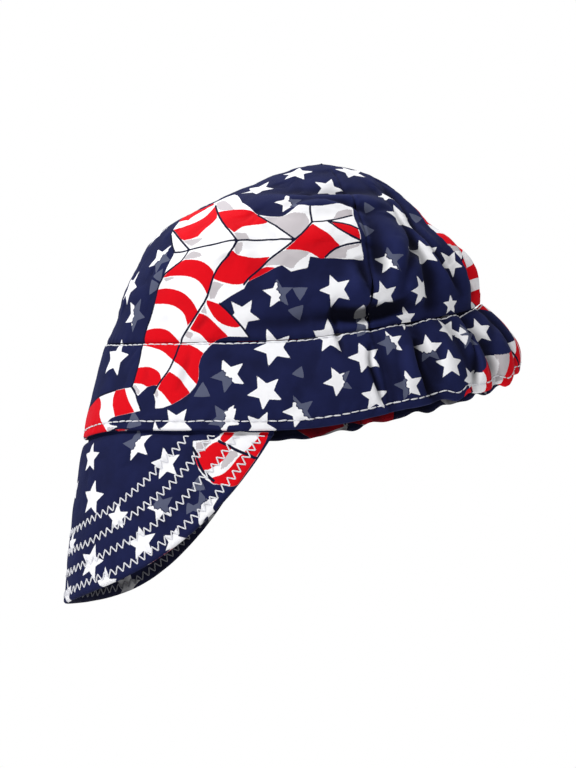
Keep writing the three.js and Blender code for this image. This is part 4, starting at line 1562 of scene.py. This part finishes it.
# %% Shader helper
class Value:
    """A socket of a node tree, with Python's operators."""

    def __init__(self, tree, socket):
        self.tree, self.socket = tree, socket

    def node(self, kind, settings=None, output=0, **sockets):
        """Adds any node: its settings first, then its sockets by name, or by place as in_0, in_1."""
        added = self.tree.nodes.new(kind)
        for key, value in (settings or {}).items():
            setattr(added, key, value)
        for key, value in sockets.items():
            place = int(key[3:]) if key.startswith("in_") else key.replace("_", " ")
            target = added.inputs[place]
            if isinstance(value, Value):
                self.tree.links.new(value.socket, target)
            else:
                target.default_value = value
        return Value(self.tree, added.outputs[output])

    def math(self, operation, *others, clamp=False):
        """A Math node on this socket and any others."""
        inputs = {f"in_{place}": value for place, value in enumerate((self, *others))}
        return self.node("ShaderNodeMath", dict(operation=operation, use_clamp=clamp), **inputs)

    def __add__(self, other):
        return self.math("ADD", other)

    def __sub__(self, other):
        return self.math("SUBTRACT", other)

    def __mul__(self, other):
        return self.math("MULTIPLY", other)

    def __rsub__(self, other):
        return self.node("ShaderNodeMath", dict(operation="SUBTRACT"), in_0=other, in_1=self)

    __radd__ = __add__
    __rmul__ = __mul__

    def between(self, low, high):
        """The value held between two bounds."""
        return self.math("MAXIMUM", low).math("MINIMUM", high)

    def step(self, width):
        """0 to 1 as the value passes zero, over a width."""
        return self.math("MULTIPLY_ADD", 1 / width, 0.5, clamp=True)

    def mix(self, first, second):
        """A colour that goes from first to second as the value goes from 0 to 1."""
        return self.node(
            "ShaderNodeMix", dict(data_type="RGBA"), output=2, Factor=self, in_6=first, in_7=second
        )


def colour(red, green, blue):
    """A colour as it is read off a picture, 0 to 255, turned to the linear values that nodes use."""
    share = np.array([red, green, blue]) / 255
    linear = np.where(share <= 0.04045, share / 12.92, ((share + 0.055) / 1.055) ** 2.4)
    return (*linear.tolist(), 1.0)


def new_material(name):
    """A material with nothing but a Principled shader, which it returns with its node tree."""
    material = bpy.data.materials.new(name)
    material.use_nodes = True
    tree = material.node_tree
    tree.nodes.clear()
    output = tree.nodes.new("ShaderNodeOutputMaterial")
    shader = tree.nodes.new("ShaderNodeBsdfPrincipled")
    tree.links.new(shader.outputs[0], output.inputs[0])
    return material, tree, shader


# %% [markdown]
# ## Printed cotton
# Cotton drill is matte with a soft sheen, and its weave is finer than a millimetre. The ink sits in
# the threads, so its edges wander a little and the navy is slightly uneven. The colour also carries
# painted shade, darker in the hollows between folds and on the cap's inner side, and a painted
# highlight on the ridges.


# %% Cotton material
# The inks in the order they are laid: how soft the edge is in mm, and how much of the wander it takes.
ink_table = [
    dict(ink="ink_echo", edge=0.16, wander=1.0, colour=(88, 93, 116)),
    dict(ink="ink_white", edge=0.16, wander=1.0, colour=(250, 250, 253)),
    dict(ink="ink_warm", edge=0.2, wander=3.0, colour=(200, 194, 198)),
    dict(ink="ink_red", edge=0.16, wander=1.0, colour=(222, 8, 24)),
    dict(ink="ink_line", edge=0.16, wander=0.6, colour=(16, 19, 46)),
]


def printed_cotton(name, weave_period=0.62):
    """Inks laid over each other by their edges, from the ground to the lines. The weave is one sine
    times another, over the unrolled cloth."""
    material, tree, shader = new_material(name)
    start = Value(tree, shader.outputs[0])

    def layer(attribute):
        return start.node("ShaderNodeAttribute", dict(attribute_name=attribute), output=2)

    place = start.node("ShaderNodeTexCoord", output=3)
    uneven = start.node("ShaderNodeTexNoise", output=0, Vector=place, Scale=1400.0, Detail=2.0)
    mottle = start.node("ShaderNodeTexNoise", output=0, Vector=place, Scale=90.0, Detail=4.0)
    wander = (uneven - 0.5) * 0.35

    # Navy ground: uneven dye from the mottle noise, plus a painted highlight on ridges and painted shade in
    # hollows, both read from the hollow layer.
    mottle_and_painted_fold_shading = (mottle * 0.8 + 0.1 - layer("hollow") * 0.35).between(0.0, 1.0)
    inked = mottle_and_painted_fold_shading.mix(colour(17, 20, 50), colour(32, 38, 82))
    for row in ink_table:
        edge = layer(row["ink"]) + wander * row["wander"]
        inked = edge.step(row["edge"]).mix(inked, colour(*row["colour"]))
    # Painted shade: the colour is darkened towards near black in the hollows of folds and on the cap's
    # inner side.
    shade = (layer("hollow") * 0.36 + layer("inside") * 0.8).between(0.0, 0.88)
    inked = shade.mix(inked, colour(8, 8, 20))
    tree.links.new(inked.socket, shader.inputs["Base Color"])

    cloth_map = start.node("ShaderNodeUVMap", dict(uv_map="cloth"))
    threads = cloth_map.node("ShaderNodeSeparateXYZ", Vector=cloth_map)
    weft = Value(tree, threads.socket.node.outputs[1])
    turns = 2 * np.pi * 1000 / weave_period
    weave = (threads * turns).math("SINE") * (weft * turns).math("SINE")
    rough = mottle * 0.12 + 0.78 + weave * 0.03
    tree.links.new(rough.socket, shader.inputs["Roughness"])
    height = weave * 0.5 + uneven * 0.8 + mottle * 1.6
    bump = start.node("ShaderNodeBump", Height=height, Strength=0.35, Distance=0.00012)
    tree.links.new(bump.socket, shader.inputs["Normal"])
    shader.inputs["Sheen Weight"].default_value = 0.04
    shader.inputs["Sheen Roughness"].default_value = 0.45
    shader.inputs["Sheen Tint"].default_value = (0.45, 0.52, 1.0, 1.0)
    shader.inputs["Specular IOR Level"].default_value = 0.08
    return material


cap_cotton = printed_cotton("printed_cotton_drill")
for piece in cloth.values():
    piece.data.materials.append(cap_cotton)


# %% Thread material
def polyester_thread(name):
    """White thread: a fine twist runs round it, and it is a little glossier than the cloth."""
    material, tree, shader = new_material(name)
    start = Value(tree, shader.outputs[0])
    place = start.node("ShaderNodeTexCoord", output=3)
    fibre = start.node("ShaderNodeTexNoise", output=0, Vector=place, Scale=2600.0, Detail=2.0)
    white = fibre.mix(colour(205, 206, 214), colour(246, 246, 250))
    # Painted shade: thread on the cap's inner side is darkened towards navy.
    inside = start.node("ShaderNodeAttribute", dict(attribute_name="inside"), output=2)
    shaded = (inside * 0.88).mix(white, colour(16, 18, 40))
    tree.links.new(shaded.socket, shader.inputs["Base Color"])
    tree.links.new((fibre * 0.2 + 0.5).socket, shader.inputs["Roughness"])
    bump = start.node("ShaderNodeBump", Height=fibre, Strength=0.4, Distance=0.0001)
    tree.links.new(bump.socket, shader.inputs["Normal"])
    return material


white_thread = polyester_thread("white_thread")
band_thread.data.materials.append(white_thread)
peak_thread.data.materials.append(white_thread)
print("materials:", cap_cotton.name, white_thread.name)

# %% [markdown]
# ## Floor and light
# The cap hangs well above a pale floor. A big soft light stands in front and above, a weaker one
# behind, and the white surroundings fill the shadows.


# %% Floor
def disc(radius, height, sides=96):
    """A flat round floor: rings of points at even angles, closed by a middle point."""
    angle = np.arange(sides) * 2 * np.pi / sides
    ring = np.stack([np.cos(angle) * radius, np.sin(angle) * radius, np.full(sides, height)], -1)
    vertices = np.concatenate([ring, [[0, 0, height]]])
    following = (np.arange(sides) + 1) % sides
    return vertices, np.stack([np.arange(sides), following, np.full(sides, sides)], -1).tolist()


FLOOR_RADIUS, FLOOR_HEIGHT = 2600, -520
floor = mesh_object("floor", *disc(FLOOR_RADIUS, FLOOR_HEIGHT))
floor_material, _, floor_shader = new_material("pale_floor")
floor_shader.inputs["Base Color"].default_value = (0.93, 0.93, 0.94, 1)
floor_shader.inputs["Roughness"].default_value = 0.9
floor.data.materials.append(floor_material)
print("floor", -FLOOR_HEIGHT, "mm below the rim")


# %% Lights
def soft_light(name, place, size, power, aim=(0, 0, 0.03)):
    """A square light that faces the cap."""
    data = bpy.data.lights.new(name, "AREA")
    data.size, data.energy = size, power
    light = bpy.data.objects.new(name, data)
    bpy.context.scene.collection.objects.link(light)
    ahead = unit(np.array(aim) - np.array(place))
    right = unit(np.cross(ahead, [0, 0, 1]))
    light.location = place
    light.rotation_euler = Matrix(np.stack([right, np.cross(right, ahead), -ahead], -1)).to_euler()


lights = [
    dict(name="front_light", place=(0.75, -1.0, 1.05), size=0.6, power=17),
    dict(name="side_light", place=(1.5, 0.35, 0.25), size=1.0, power=3.0),
    dict(name="top_light", place=(-0.5, -0.2, 1.3), size=0.6, power=9),
]
for row in lights:
    soft_light(**row)

world = bpy.data.worlds.new("surroundings")
bpy.context.scene.world = world
world.use_nodes = True
tree = world.node_tree
tree.nodes.clear()
output = tree.nodes.new("ShaderNodeOutputWorld")
seen_light = tree.nodes.new("ShaderNodeBackground")
seen_light.inputs[1].default_value = 1.0
fill_light = tree.nodes.new("ShaderNodeBackground")
fill_light.inputs[1].default_value = 0.36
for light in (seen_light, fill_light):
    light.inputs[0].default_value = (1, 1, 1, 1)
ray = tree.nodes.new("ShaderNodeLightPath")
mixer = tree.nodes.new("ShaderNodeMixShader")
tree.links.new(ray.outputs["Is Camera Ray"], mixer.inputs[0])
tree.links.new(fill_light.outputs[0], mixer.inputs[1])
tree.links.new(seen_light.outputs[0], mixer.inputs[2])
tree.links.new(mixer.outputs[0], output.inputs[0])
bpy.context.scene.view_settings.view_transform = "Standard"
print(len(lights), "soft lights and white surroundings")
